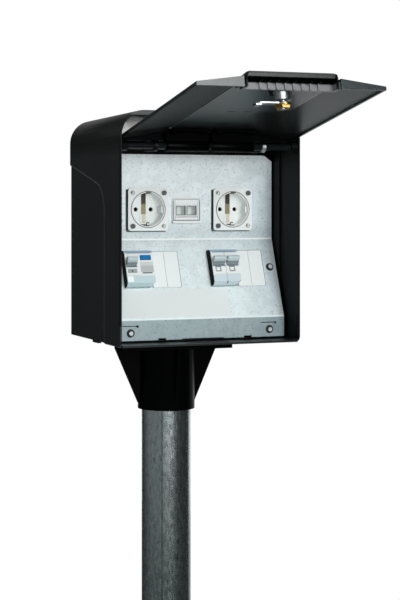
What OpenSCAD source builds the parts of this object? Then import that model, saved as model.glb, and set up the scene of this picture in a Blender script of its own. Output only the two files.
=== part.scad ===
// Garden socket post: a lidded socket box on top of a pipe, drawn with its lid swung open.
// Origin on the pipe's axis at its lower end, +Z up. The mouth of the box faces -Y.

/* [Pole] */
// Outside diameter of the pipe
pole_d = 60.3; // [54:0.1:66]
// Wall of the pipe
pole_wall = 2.9; // [2:0.1:4]
// Length of the pipe
pole_len = 590; // [400:5:1500]

/* [Post adaptor] */
// Gap between the pipe and the sleeve
sleeve_gap = 0.2; // [0.1:0.05:0.5]
// Wall of the sleeve
sleeve_wall = 4.6; // [3:0.1:6]
// Length of pipe held in the sleeve
sleeve_grip = 82; // [60:1:110]
// Thickness of the ledge that stops the pipe
ledge_t = 8; // [7:0.5:12]
// Width of the flange
flange_w = 137; // [125:1:150]
// Flange in front of the pipe's axis
flange_front = 46.5; // [42:0.5:52]
// Flange behind the pipe's axis
flange_back = 36; // [36:0.5:38]
// Thickness of the flange
flange_t = 6; // [4:0.5:7]
// Depth of the skirt below the flange
skirt_h = 9; // [5:0.5:14]
// Depth of the skirt at its back
skirt_back = 4; // [3:0.5:9]
// Wall of the skirt
skirt_t = 4; // [3:0.5:5]
// Thickness of the gussets
gusset_t = 5; // [3:0.5:7]
// Diameter of the set screws
set_d = 8; // [5:1:8]
// Flange bolts from the middle, sideways
bolt_x = 50; // [47:0.5:53]
// Flange bolts in front of the pipe's axis
bolt_front = 31; // [28:0.5:33]
// Flange bolts behind the pipe's axis
bolt_back = 23; // [20:0.5:24]
// Diameter of the flange bolts
bolt_d = 6; // [4:1:6]
// Hole in the floor for the supply cable
cable_hole = 48; // [40:1:48]

/* [Box] */
// Width over the hood
box_w = 223.6; // [218:0.2:230]
// Pipe's axis to the mouth
mouth_y = 145; // [140:0.5:150]
// Pipe's axis to the back
back_y = 38; // [38:0.5:44]
// Underside of the casing to the roof at the mouth
box_h = 266.4; // [264:0.2:272]
// Fall of the roof towards the back, in degrees
roof_tilt = 1.2; // [0:0.1:1.6]
// Radius of the roof's corners
top_r = 28.7; // [24:0.1:30]
// Radius of the lower corners
foot_r = 2; // [1.5:0.5:5.5]
// Rounding of the cheeks' lower front corners
chin_r = 8; // [6:0.5:12]
// Wall of hood and casing
wall = 2.2; // [2:0.1:2.6]
// Step from the hood down to the casing
lap = 1.5; // [1.3:0.1:1.8]
// Step below the casing's floor
lap_z = 1; // [0.8:0.1:1.4]
// Gap between the hood and the casing
slip = 0.1; // [0.05:0.05:0.2]
// Depth of the hood's front band
band = 55; // [50:1:58]
// Length of casing under the front band
case_lap = 6; // [5:0.5:8]
// Height of the hood's lip over the mouth
lip_h = 7.4; // [5:0.2:9]
// Thickness of that lip
lip_t = 3; // [2:0.5:5]
// Height of the cheek's edge at the back, over the casing's underside
cheek_h = 207.8; // [195:1:215]
// Fall of the cheek's edge towards the front, in degrees
cheek_a = 13; // [8:1:18]
// Rounding of the cheek's edge
cheek_r = 34; // [20:1:45]
// Width of the floor slot for the lock's cam
cam_slot_w = 53; // [40:1:60]

/* [Hinge] */
// Height of the hinge over the casing's underside
hinge_h = 226.7; // [225:0.1:228]
// Hinge axis behind the lid's rim
hinge_in = 8.1; // [8:0.1:9]
// Diameter of the hinge rod
rod_d = 8; // [6:0.5:8]
// Diameter of the knuckles
knuckle_d = 13; // [11:0.5:13]
// Radial gap between rod and knuckles
run = 0.05; // [0.03:0.01:0.1]
// Middle of each lid hinge from the centre
lid_hinge_x = 28; // [27:0.5:28]
// Width of each lid hinge
lid_hinge_w = 52; // [44:1:52]
// Middle of each fixed bracket from the centre
bracket_x = 67; // [66:0.5:72]
// Thickness of the brackets
bracket_t = 4; // [3:0.5:5]
// Front of the transom plate behind the mouth
transom_in = 27; // [26:0.5:30]

/* [Lid] */
// Width of the lid
lid_w = 214; // [208:0.2:217.8]
// Lid above the hinge axis
lid_top = 10.5; // [9:0.5:11]
// Thickness at the lid's side edges
lid_edge = 4; // [3:0.1:5]
// Height of the lid's flat over its rim
lid_bulge = 11; // [10:0.5:13]
// Width of the flat
flat_w = 109; // [100:1:118]
// Wall of the lid
lid_wall = 2.5; // [2:0.1:2.7]
// Angle between the shut lid and the lid as drawn
lid_open = 101.3; // [90:0.1:106]
// Gap between the shut lid and the mouth
lid_gap = 0.4; // [0.3:0.1:1]
// Depth of the handle along the lid
handle_d = 13.7; // [13:0.1:14]
// Height of the handle over the lid's rim
handle_h = 17; // [15:0.5:20]
// Rounding of the handle's upper corners
handle_r = 8; // [5:0.5:10]
// Rounding of the handle's front corners
grip_r = 6.5; // [4:0.5:8]
// Thickness of the handle's lip
grip_t = 6.2; // [5:0.1:7.5]
// Number of grip ribs
rib_n = 8; // [4:1:9]
// Spacing of the grip ribs
rib_pitch = 9.5; // [7:0.5:10]

/* [Lock] */
// Lock axis above the lid's free end
lock_up = 28.7; // [28.4:0.1:30]
// Diameter of the lock's barrel
barrel_d = 18; // [16:0.5:19]
// Diameter of the plug
plug_d = 12; // [10:0.5:13]
// Diameter of the plug's shaft
shaft_d = 7; // [5:0.5:8]
// Reach of the cam
cam_reach = 32.5; // [30:0.5:34]
// Width of the cam
cam_w = 8; // [6:0.5:10]
// Thickness of the cam
cam_t = 2; // [1.5:0.1:2.5]
// Cam behind the lid's rim
cam_in = 8.5; // [8.5:0.5:12]

/* [Device panel] */
// Width of the panel
panel_w = 212.8; // [208:0.2:213]
// Thickness of the sheet
panel_t = 1.5; // [1:0.1:2]
// Upper facet behind the mouth
panel_in = 67.3; // [64:0.1:70]
// Lower facet behind the mouth
toe_in = 32.3; // [30:0.1:36]
// Top of the panel over the casing's underside
panel_top_h = 218.7; // [214:0.1:218.7]
// Upper bend over the casing's underside
bend_h = 118.7; // [116:0.1:120]
// Lower bend over the casing's underside
toe_bend_h = 27.2; // [25:0.1:28]
// Bottom of the panel over the casing's underside
panel_foot_h = 3.7; // [3.2:0.1:5]
// Screws on the slope from the middle
slope_screw_x = 97.8; // [97:0.1:100]
// Screws on the lower facet from the middle
toe_screw_x = 87.4; // [86:0.1:92]
// Diameter of the panel screws
panel_screw_d = 4; // [3:0.5:4]
// Thickness of the casing's rails behind the panel
rail_t = 8; // [6:0.5:10]

/* [Sockets and data outlet] */
// Sockets from the middle
socket_x = 54; // [53:0.5:56]
// Height of the sockets over the casing's underside
socket_h = 154; // [152:0.5:160]
// Side of the socket plates
plate_w = 50; // [49:0.5:52]
// Thickness of the socket plates
plate_t = 3.5; // [2.5:0.5:5]
// Diameter of the socket's body
socket_d = 44; // [43:0.5:45]
// Diameter of the recess
recess_d = 39.5; // [39:0.1:40]
// Depth of the recess from the plate's face
recess_deep = 17; // [16:0.5:18]
// Depth of the body behind the panel
socket_deep = 34; // [32:0.5:38]
// Spacing of the pin holes
pin_pitch = 19; // [19:0.5:19]
// Diameter of the pin holes
pin_hole = 5.2; // [5:0.1:5.5]
// Socket screws from the plate's middle
plate_screw = 19.5; // [19:0.1:20.5]
// Middle of the data outlet
data_x = -5.2; // [-6:0.2:6]
// Height of the data outlet over the casing's underside
data_h = 152.7; // [150:0.5:156]
// Width of the data outlet
data_w = 36; // [34:0.5:38]
// Height of the data outlet's face
data_tall = 30; // [28:0.5:34]
// Spacing of its two jacks
jack_pitch = 13.8; // [13.6:0.1:14.4]

/* [Breakers] */
// Breaker slots from the middle
slot_x = 54; // [53.5:0.5:54.5]
// Width of one module
module_w = 17.6; // [17.5:0.1:17.7]
// Height of the slots
slot_tall = 45; // [45:0.1:46]
// Top of the slots below the upper bend
slot_down = 14.5; // [13:0.5:16]
// Breaker's nose in front of the panel
nose = 10; // [8:0.5:12]
// Face of the rail behind the panel
din_in = 46; // [44:0.5:48]
// Height of the breaker's body
breaker_tall = 84; // [80:1:86]
// Diameter of the toggle's drum
drum_d = 6; // [5:0.5:7]
// Toggle's pivot behind the nose
pivot_in = 1.5; // [1:0.5:3]
// Length of the toggle from its pivot
toggle_len = 11; // [9:0.5:13]
// Tilt of the toggle when on
toggle_tilt = 30; // [20:1:32]
// Gap round toggles and buttons
toggle_gap = 0.4; // [0.3:0.1:0.5]
// Height of the test button over the nose
button_h = 2; // [1.8:0.1:3]
// Travel of the test button
button_travel = 1.5; // [1:0.1:1.6]

/* [Hidden] */
$fn = 48;
tall = 500;
bite = 0.8;
box_z = pole_len + ledge_t;
floor_z = box_z - lap_z;
roof_z = box_z + box_h;
sleeve_d = pole_d + 2 * (sleeve_gap + sleeve_wall);
sleeve_z = pole_len - sleeve_grip;
band_y = band - mouth_y;
case_y = band_y - case_lap;
case_in = box_w / 2 - lap - wall;
hinge_z = box_z + hinge_h;
hinge_y = hinge_in - lid_gap - mouth_y;
transom_y = transom_in - mouth_y;
transom_t = 1.5;
head_h = roof_z - hinge_z;
transom_z = hinge_z + 0.2 * head_h;
panel_y = panel_in - mouth_y;
toe_y = toe_in - mouth_y;
bend_z = box_z + bend_h;
toe_z = box_z + toe_bend_h;
slope_a = atan2(panel_y - toe_y, bend_z - toe_z);
lid_end = floor_z - hinge_z;
lid_len = lid_top - lid_end;
flat_in = lid_bulge - lid_wall;
lock_y = lid_end + lock_up;
slot_w = 4 * module_w + 0.6;
slot_mid = -slot_down - slot_tall / 2;
body_w = 2 * module_w - 0.2;
left_x = -slot_x - slot_w / 2 + 0.4;
right_x = slot_x - slot_w / 2 + 0.4;
pivot_v = slot_mid + 3.9;
pivot_n = nose - pivot_in;
lever_t = 5;
rcbo_lever_x = left_x + 7.6;
rcbo_lever_w = 12.4;
mcb_lever_w = 14.5;
button_x = left_x + 25.8;
button_v = slot_mid + 11.4;
button_size = [13, 5.4];
screw_head = 2.4;
cross_deep = 0.9;
small_d = 3;
tap_free = 0.1;
screw_free = 0.2;
bolt_free = 0.4;
set_turn = 40;
set_up = 25;
set_len = 14;
set_key = 5;
set_boss = 12;
gusset_up = 8;
gusset_x = flange_w / 2 - 1.8;
grommet_room = 4;
grommet_t = 2;
grommet_in = cable_hole / 2 - 5;
grommet_out = cable_hole / 2 + 3;
hood_screw_x = 80;
roof_screw_x = 70;
roof_screw_in = 14;
rod_boss = 10;
transom_screw_x = box_w / 2 - 11.8;
transom_screw_up = 0.58 * head_h;
bracket_screw_dx = 5;
bracket_screw_up = 0.48 * head_h;
bracket_up = 0.7 * head_h;
arm_low = 6;
arm_deep = 8;
foot_w = 16;
foot_h = 0.45 * head_h;
cam_slot_d = 11;
cam_slot_y = cam_in - 4.5 - mouth_y;
slope_screw_v = slot_mid + 0.7;
toe_screw_h = 12.4;
toe_pad = 7;
rail_free = 1.5;
corner_w = 10;
corner_h = 7;
notch_w = 10;
notch_off = 0.4;
foot_gap_x = 2.4;
slit_h = 20;
slit_w = 18;
slit_t = 0.9;
slit_hole = 3;
slits_x = [8.4 - panel_w / 2, panel_w / 2 - 30.4];
label_x = 4.4 - panel_w / 2;
label_down = 36;
label_size = [140, 34, 0.3];
strap_w = 5.6;
strap_t = 0.8;
data_t = 2;
data_rim = 2;
data_deep = 24;
jack_w = 13;
jack_tall = 14.6;
port_w = 10.6;
port_tall = 9.6;
port_deep = 11;
din_len = 2 * (case_in - 10.1);
din_w = 35;
din_web = 27;
din_edge = 5;
din_deep = 7.5;
din_t = 1;
rail_screw_x = case_in - 16.1;
rail_screw_l = 9;
ledge_x = case_in - 24.1;
ledge_w = 24;
ledge_deep = 10;
nose_free = 0.4;
button_deep = 8;
button_foot = button_travel + toggle_gap;
tie_d = 2.5;
tie_in = 6;
terminal_n = 6;
terminal_pitch = 12;
terminal_w = 76;
terminal_deep = 20;
terminal_tall = 24;
terminal_y = back_y - wall - terminal_deep;
terminal_up = 54;
terminal_z = box_z + terminal_up;
terminal_hole_in = 15;
terminal_screw_l = 10;
leaf_t = 2.5;
leaf_len = 16;
leaf_screws = [-18, 18];
leaf_screw_y = -11;
leaf_screw_l = 4.2;
stem_w = 9;
grip_back = 2.7;
grip_end = 4;
rib_t = 2;
rib_h = 3;
rib_back = 1.6;
tab_w = 20;
tab_len = 18;
collar_t = 2.5;
barrel_low = 6.5;
lock_nut_t = 6;
lock_flats = barrel_d + 10;
cam_nut_t = 4.5;
cam_washer_t = 1.5;
mark_x = [-12.5, 7.5];
mark_y = -97;
mark_size = [9.5, 1.2, 1];
lug_y = -64;
lug_size = [4, 20, 3];
lug_low = 2.2;
plate_r = 4;
ring_d = recess_d + 4;
ring_w = 1;
ring_deep = 1.2;
spare_d = 4;
spare_deep = 2;
guide_w = 8;
guide_h = 2.2;
bridge_w = 9.2;
bridge_y = -17.5;
bridge_len = 12;
bridge_t = 1.3;
data_ledge = [data_w, 3, 4];
groove_v = slot_mid - 10.8;
groove_w = 0.8;
window_v = slot_mid - 7.1;
window_h = 5;
window_deep = 0.4;
tag_x = 16;
tag_v = slot_mid - 6.5;
tag_size = [18.4, 12.5, 1];
cut_corner = 6;
crank_len = 7;
tab_x = 41;
tab_y = lid_end + handle_d + 8.5;
pole_steel = "#9aa3a3";
black = "#202526";
zinc = "#c9d3d4";
white = "#e6ecea";
grey = "#8d999c";
brass = "#b98f45";

// Frames: x stays sideways, y runs up the surface and z stands out of it
module on_face(z) translate([0, panel_y, z]) rotate([90, 0, 0]) children();
module on_slope() translate([0, panel_y, bend_z]) rotate([90 - slope_a, 0, 0]) children();
module on_toe(z) translate([0, toe_y, z]) rotate([90, 0, 0]) children();
module on_lid() translate([0, hinge_y, hinge_z]) rotate([90 - lid_open, 0, 0])
    translate([0, 0, hinge_in]) children();

// Outline in the plane across X, drawn out from x0 to x1
module along_x(x0, x1) translate([x0, 0, 0]) rotate([90, 0, 90]) linear_extrude(x1 - x0) children();
module both_sides() {
    children();
    mirror([1, 0, 0]) children();
}
module rod_x(x0, x1, d) translate([x0, 0, 0]) rotate([0, 90, 0]) cylinder(d = d, h = x1 - x0);

// Pan-head screw with its head on z = 0 and a cross recess
module screw(d, l) difference() {
    union() {
        cylinder(d = 1.9 * d, h = screw_head);
        translate([0, 0, -l]) cylinder(d = d, h = l + 0.1);
    }
    for (a = [0, 90]) rotate(a) translate([-0.6 * d, -0.12 * d, screw_head - cross_deep])
        cube([1.2 * d, 0.24 * d, cross_deep + 1]);
}
module hex(flats, h) cylinder(d = flats / cos(30), h = h, $fn = 6);

// The box's outline with straight lower corners and rounded, falling roof
module foot_outline(w, z, r) {
    translate([-w / 2, z + r]) square([w, tall]);
    translate([r - w / 2, z]) square([w - 2 * r, 2 * r]);
    for (s = [-1, 1]) translate([s * (w / 2 - r), z + r]) circle(r);
}
module head_outline(w, r) {
    translate([-w / 2, -tall]) square([w, tall - r]);
    translate([r - w / 2, -tall]) square([w - 2 * r, tall]);
    for (s = [-1, 1]) translate([s * (w / 2 - r), -r]) circle(r);
}
module box_form(inset, lift, y0, y1) intersection() {
    translate([0, y1, 0]) rotate([90, 0, 0]) linear_extrude(y1 - y0)
        foot_outline(box_w - 2 * inset, floor_z + lift, max(foot_r - inset, 1));
    translate([0, -mouth_y, roof_z]) rotate([-roof_tilt, 0, 0]) translate([0, y1 + mouth_y + 20, -inset])
        rotate([90, 0, 0]) linear_extrude(y1 - y0 + 40) head_outline(box_w - 2 * inset, top_r - inset);
}

// Line of the panel in the plane across X, t behind its front
function panel_line(t, top, foot) = let (m = t * tan(slope_a / 2))
    [[panel_y + t, top], [panel_y + t, bend_z - m], [toe_y + t, toe_z - m], [toe_y + t, foot]];
function back_to_front(list) = [for (i = [len(list) - 1 : -1 : 0]) list[i]];
module panel_strip(t0, t1, top, foot)
    polygon(concat(panel_line(t0, top, foot), back_to_front(panel_line(t1, top, foot))));

// Places that repeat
module at_bolts() for (x = [-bolt_x, bolt_x], y = [-bolt_front, bolt_back])
    translate([x, y, box_z]) children();
module at_set_screws() for (a = [-set_turn, set_turn]) translate([0, 0, sleeve_z + set_up])
    rotate([0, 0, a]) rotate([-90, 0, 0]) children();
module at_panel_screws() {
    both_sides() on_slope() translate([slope_screw_x, slope_screw_v, 0]) children();
    both_sides() on_toe(box_z + toe_screw_h) translate([toe_screw_x, 0, 0]) children();
}
module at_rail_screws() both_sides() on_slope()
    translate([rail_screw_x, slot_mid, din_t - din_in - din_deep]) children();
module at_hood_screws() both_sides() {
    translate([hood_screw_x, case_y + case_lap / 2, floor_z]) rotate([180, 0, 0]) children();
    translate([0, -mouth_y, roof_z]) rotate([-roof_tilt, 0, 0])
        translate([roof_screw_x, mouth_y + back_y - roof_screw_in, 0]) children();
}
module at_transom_screws() both_sides()
    translate([transom_screw_x, transom_y, hinge_z + transom_screw_up]) rotate([90, 0, 0]) children();
module at_bracket_screws() both_sides() for (dx = [-bracket_screw_dx, bracket_screw_dx])
    translate([bracket_x + dx, transom_y, hinge_z + bracket_screw_up]) rotate([90, 0, 0]) children();
module at_sockets() for (x = [-socket_x, socket_x]) on_face(box_z + socket_h)
    translate([x, 0, 0]) children();
module at_plate_screws() for (s = [-1, 1]) translate([s * plate_screw, s * plate_screw, 0]) children();
module at_lid_hinge_screws() both_sides() on_lid() for (dx = leaf_screws)
    translate([lid_hinge_x + dx, leaf_screw_y, flat_in - leaf_t]) rotate([180, 0, 0]) children();
module at_handle_screws() both_sides() on_lid() translate([tab_x, tab_y, flat_in - leaf_t])
    rotate([180, 0, 0]) children();
module at_terminals() for (i = [0 : terminal_n - 1])
    translate([(i - (terminal_n - 1) / 2) * terminal_pitch, terminal_y, terminal_z])
        rotate([90, 0, 0]) children();

// Pipe that carries the box, plain at both ends
module pole() color(pole_steel) difference() {
    cylinder(d = pole_d, h = pole_len, $fn = 96);
    translate([0, 0, -1]) cylinder(d = pole_d - 2 * pole_wall, h = pole_len + 2, $fn = 96);
}

// Sleeve over the pipe, with a skirted flange under the box and gussets between the two
module post_adaptor() color("#0c0f10") difference() {
    union() {
        translate([0, 0, sleeve_z]) cylinder(d = sleeve_d, h = box_z - sleeve_z, $fn = 96);
        translate([-flange_w / 2, -flange_front, box_z - flange_t])
            cube([flange_w, flange_front + flange_back, flange_t]);
        difference() {
            along_x(-flange_w / 2, flange_w / 2) translate([0, box_z - flange_t])
                polygon([[-flange_front, -skirt_h], [flange_back, -skirt_back], [flange_back, 1],
                    [-flange_front, 1]]);
            translate([skirt_t - flange_w / 2, skirt_t - flange_front, box_z - flange_t - skirt_h - 1])
                cube([flange_w - 2 * skirt_t, flange_front + flange_back - 2 * skirt_t, skirt_h + 3]);
        }
        both_sides() translate([0, gusset_t / 2, 0]) rotate([90, 0, 0]) linear_extrude(gusset_t)
            polygon([[sleeve_d / 2 - 2, sleeve_z + gusset_up], [sleeve_d / 2 + 2, sleeve_z + gusset_up],
                [gusset_x, box_z - flange_t - skirt_h], [gusset_x, box_z - 1],
                [sleeve_d / 2 - 2, box_z - 1]]);
        along_x(-gusset_t / 2, gusset_t / 2)
            polygon([[2 - sleeve_d / 2, sleeve_z + gusset_up], [-sleeve_d / 2 - 1, sleeve_z + gusset_up],
                [1 - flange_front, box_z - flange_t - skirt_h], [1 - flange_front, box_z - 1],
                [2 - sleeve_d / 2, box_z - 1]]);
        at_set_screws() translate([0, 0, pole_d / 2 + 1]) cylinder(d = 2 * set_d, h = set_boss);
    }
    translate([0, 0, sleeve_z - 1]) cylinder(d = pole_d + 2 * sleeve_gap, h = sleeve_grip + 1, $fn = 96);
    translate([0, 0, pole_len - 1]) cylinder(d = cable_hole + 2 * grommet_room, h = ledge_t + 2);
    at_bolts() translate([0, 0, -flange_t - 1]) cylinder(d = bolt_d + bolt_free, h = flange_t + 2);
    at_set_screws() cylinder(d = set_d + 0.2, h = pole_d);
}

// Set screws with a hexagon socket, their points on the pipe
module set_screws() color(grey) at_set_screws() difference() {
    translate([0, 0, pole_d / 2]) cylinder(d = set_d, h = set_len);
    translate([0, 0, pole_d / 2 + set_len - set_key]) hex(set_d / 2, set_key + 1);
}

// Bolts from inside the casing down through the flange, and their nuts
module flange_bolts() color(zinc) at_bolts() {
    translate([0, 0, wall]) hex(1.65 * bolt_d, 0.65 * bolt_d);
    translate([0, 0, -flange_t - bolt_d - 2]) cylinder(d = bolt_d, h = flange_t + bolt_d + wall + 2.1);
}
module flange_nuts() color(zinc) at_bolts() translate([0, 0, -flange_t - 0.8 * bolt_d]) difference() {
    hex(1.65 * bolt_d, 0.8 * bolt_d);
    translate([0, 0, -1]) cylinder(d = bolt_d + 0.1, h = bolt_d + 2);
}

// Rear tub of the box: rails for the panel, ledges for the breaker rail and a lug under each side
module rear_casing() color(black) difference() {
    union() {
        difference() {
            box_form(lap, lap_z, case_y, back_y);
            box_form(lap + wall, lap_z + wall, case_y - 1, back_y - wall);
        }
        both_sides() {
            along_x(slot_x + slot_w / 2 + rail_free, case_in + bite)
                panel_strip(panel_t, panel_t + rail_t, bend_z + 8, toe_z - 6);
            along_x(toe_screw_x - toe_pad, case_in + bite)
                translate([toe_y + panel_t, box_z + 6]) square([rail_t, toe_bend_h - 9]);
            on_slope() translate([ledge_x, slot_mid - ledge_w / 2, -din_in - din_deep - ledge_deep])
                cube([case_in + bite - ledge_x, ledge_w, ledge_deep]);
            translate([case_in + wall - lug_size[0], lug_y, box_z - lug_low]) cube(lug_size);
        }
    }
    translate([0, 0, box_z - 1]) cylinder(d = cable_hole, h = wall + 2);
    at_bolts() translate([0, 0, -1]) cylinder(d = bolt_d + bolt_free, h = wall + 2);
    at_panel_screws() translate([0, 0, -rail_t - 1]) cylinder(d = panel_screw_d + tap_free, h = rail_t + 3);
    at_rail_screws() translate([0, 0, -rail_screw_l - 0.5]) cylinder(d = 4 + tap_free, h = rail_screw_l + 3);
    at_hood_screws() translate([0, 0, -8]) cylinder(d = small_d + tap_free, h = 10);
}

// Rubber ring in the floor's cable hole
module cable_grommet() color("#151718") translate([0, 0, box_z]) rotate_extrude()
    polygon([[grommet_in, -grommet_t], [grommet_out, -grommet_t], [grommet_out, 0],
        [cable_hole / 2, 0], [cable_hole / 2, wall], [grommet_out, wall],
        [grommet_out, wall + grommet_t], [grommet_in, wall + grommet_t]]);

// Part of the side that the hood leaves open, behind its band and below its cheeks
module cheek_cut() {
    back = [back_y + 2, box_z + cheek_h + 2 * tan(cheek_a)];
    fall = (back_y - band_y - cheek_r) * tan(cheek_a) + cheek_r / cos(cheek_a);
    mid = [band_y + cheek_r, box_z + cheek_h - fall];
    polygon([[band_y, box_z - 20], [band_y, mid[1]], mid,
        mid + cheek_r * [-sin(cheek_a), cos(cheek_a)], back, [back_y + 2, box_z - 20]]);
    translate(mid) circle(cheek_r, $fn = 96);
}

// Corner that is rounded off the cheeks' lower front ends
module chin_cut() difference() {
    translate([-mouth_y - 1, floor_z - 1]) square(chin_r + 1);
    translate([chin_r - mouth_y, floor_z + chin_r]) circle(chin_r);
}

// Front surround, cheeks and roof in one moulding, with bosses for the rod and the transom
module front_hood() color(black) difference() {
    union() {
        difference() {
            box_form(0, 0, -mouth_y, back_y);
            box_form(wall, wall, -mouth_y - 1, case_y);
            box_form(lap - slip, lap_z - slip, case_y - slip, back_y + 1);
            along_x(-box_w, box_w) cheek_cut();
        }
        intersection() {
            box_form(wall / 4, wall, -mouth_y, lip_t - mouth_y);
            translate([-box_w / 2, -mouth_y - 1, roof_z - lip_h]) cube([box_w, lip_t + 2, tall]);
        }
        both_sides() translate([0, hinge_y, hinge_z])
            rod_x(box_w / 2 - rod_boss, box_w / 2 - wall + bite, knuckle_d);
        intersection() {
            box_form(wall / 4, wall, -mouth_y, case_y - 1);
            both_sides() translate([transom_screw_x - 5, transom_y + transom_t, hinge_z])
                translate([0, 0, transom_screw_up - 6]) cube([20, 8, 12]);
        }
    }
    translate([0, hinge_y, hinge_z]) rod_x(1 - box_w / 2, box_w / 2 - 1, rod_d + 2 * run);
    translate([-cam_slot_w / 2, cam_slot_y, floor_z - 1]) cube([cam_slot_w, cam_slot_d, wall + 2]);
    both_sides() along_x(box_w / 2 - 1.5 * wall, box_w / 2 + 1) chin_cut();
    at_transom_screws() translate([0, 0, -8]) cylinder(d = 4 + tap_free, h = 9);
    at_hood_screws() translate([0, 0, -8]) cylinder(d = small_d + tap_free, h = 10);
}
module hood_screws() color(grey) at_hood_screws() screw(small_d, 3.4);

// Sheet across the top of the mouth that carries the hinge
module transom_plate() color(zinc) difference() {
    intersection() {
        box_form(wall + 1, wall, transom_y, transom_y + transom_t);
        translate([-box_w / 2, -mouth_y, transom_z]) cube([box_w, mouth_y, tall]);
    }
    at_transom_screws() translate([0, 0, -4]) cylinder(d = 4.3, h = 6);
    at_bracket_screws() translate([0, 0, -4]) cylinder(d = small_d + screw_free, h = 6);
}
module transom_screws() color(grey) at_transom_screws() screw(4, 8);

// Brackets behind the transom that reach forward under the open lid to hold the rod
module hinge_brackets() color(zinc) both_sides() difference() {
    union() {
        along_x(bracket_x - bracket_t / 2, bracket_x + bracket_t / 2) {
            translate([transom_y + transom_t, hinge_z - arm_low]) square([arm_deep, arm_low + bracket_up]);
            translate([hinge_y, hinge_z - arm_low])
                square([transom_y - hinge_y + transom_t + arm_deep, 8.5]);
        }
        translate([0, hinge_y, hinge_z])
            rod_x(bracket_x - bracket_t / 2, bracket_x + bracket_t / 2, knuckle_d);
        translate([bracket_x - foot_w / 2, transom_y + transom_t, transom_z + 2]) cube([foot_w, 2, foot_h]);
    }
    translate([0, hinge_y, hinge_z]) rod_x(0, box_w, rod_d + 2 * run);
    at_bracket_screws() translate([0, 0, -4]) cylinder(d = small_d + tap_free, h = 6);
}
module bracket_screws() color(grey) at_bracket_screws() screw(small_d, 6);

// Rod from side to side that the lid turns on
module hinge_rod() color("#3a4042") translate([0, hinge_y, hinge_z])
    rod_x(1.5 - box_w / 2, box_w / 2 - 1.5, rod_d);

// Galvanised sheet in three facets, with every cut-out for what it carries
module device_panel() color(zinc) difference() {
    along_x(-panel_w / 2, panel_w / 2)
        panel_strip(0, panel_t, box_z + panel_top_h, box_z + panel_foot_h);
    both_sides() on_face(box_z + panel_top_h) translate([0, 0, -3]) linear_extrude(6)
        polygon([[panel_w / 2 - corner_w, 0], [panel_w / 2 + 1, 1], [panel_w / 2, -corner_h]]);
    at_sockets() {
        translate([0, 0, -3]) cylinder(d = socket_d + 0.6, h = 6);
        at_plate_screws() translate([0, 0, -3]) cylinder(d = small_d + screw_free, h = 6);
    }
    on_face(box_z + data_h) translate([data_x - data_w / 2 + data_rim, data_rim - data_tall / 2, -3])
        cube([data_w - 2 * data_rim, data_tall - 2 * data_rim, 6]);
    on_slope() for (x = [-slot_x, slot_x]) translate([x - slot_w / 2, slot_mid - slot_tall / 2, -3])
        cube([slot_w, slot_tall, 6]);
    at_panel_screws() translate([0, 0, -3]) cylinder(d = panel_screw_d + 2 * screw_free, h = 6);
    on_toe(box_z + slit_h) for (x = slits_x) translate([x, 0, -3]) {
        cube([slit_w, slit_t, 6]);
        translate([slit_w + 1, 0, 0]) cylinder(d = slit_hole, h = 6);
    }
    on_toe(box_z + panel_foot_h) {
        for (x = [-slot_x, slot_x]) translate([x + notch_off, -1, -3]) cube([notch_w, 3, 6]);
        translate([foot_gap_x - cam_slot_w / 2, -1, -3]) cube([cam_slot_w, 1.9, 6]);
    }
}
module panel_screws() color(grey) at_panel_screws() screw(panel_screw_d, rail_t);

// Paper label on the slope, bare
module label_sheet() color("#dde4e2") on_slope()
    translate([label_x, slot_mid - slot_tall / 2 - label_down, 0]) cube(label_size);

// Earthed socket: square plate, round body through the panel, deep round recess with two guides
module plate_outline() {
    side = plate_w / 2 - plate_r;
    square([plate_w, 2 * side], center = true);
    square([2 * side, plate_w], center = true);
    for (x = [-side, side], y = [-side, side]) translate([x, y]) circle(plate_r);
}
module socket() {
    difference() {
        union() {
            linear_extrude(plate_t) plate_outline();
            translate([0, 0, -socket_deep]) cylinder(d = socket_d, h = socket_deep + 1);
        }
        translate([0, 0, plate_t - recess_deep]) cylinder(d = recess_d, h = recess_deep + 1, $fn = 96);
        translate([0, 0, plate_t - ring_deep]) difference() {
            cylinder(d = ring_d, h = ring_deep + 1, $fn = 96);
            translate([0, 0, -1]) cylinder(d = ring_d - 2 * ring_w, h = ring_deep + 3, $fn = 96);
        }
        for (s = [-1, 1]) translate([s * pin_pitch / 2, 0, -socket_deep - 1]) {
            cylinder(d = pin_hole, h = socket_deep);
            cylinder(d = pin_hole + 1.4, h = socket_deep + plate_t - recess_deep - 2);
        }
        at_plate_screws() translate([0, 0, -1]) cylinder(d = small_d + screw_free, h = plate_t + 2);
        for (s = [-1, 1]) translate([s * plate_screw, -s * plate_screw, plate_t - spare_deep])
            cylinder(d = spare_d, h = spare_deep + 1);
    }
    translate([0, 0, plate_t - recess_deep]) {
        both_sides() translate([recess_d / 2 - guide_h, -guide_w / 2, -bite])
            cube([guide_h + bite, guide_w, recess_deep - 3]);
        difference() {
            translate([-bridge_w / 2, bridge_y, -bite]) cube([bridge_w, bridge_len, bridge_t + bite]);
            translate([-strap_w / 2 - slip, bridge_y - 1, 0])
                cube([strap_w + 2 * slip, bridge_len + 2, strap_t + slip]);
        }
    }
}
module socket_left() color(white) on_face(box_z + socket_h) translate([-socket_x, 0, 0]) socket();
module socket_right() color(white) on_face(box_z + socket_h) translate([socket_x, 0, 0]) socket();

// Bent earth straps on the floor of each recess
module earth_straps() color(brass) at_sockets() translate([0, 0, plate_t - recess_deep]) {
    reach = recess_d / 2 - 0.6;
    translate([-strap_w / 2, -reach, 0]) cube([strap_w, 2 * reach, strap_t]);
    for (y = [-reach, reach - strap_t]) translate([-strap_w / 2, y, 0])
        cube([strap_w, strap_t, recess_deep - 2]);
}

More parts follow.
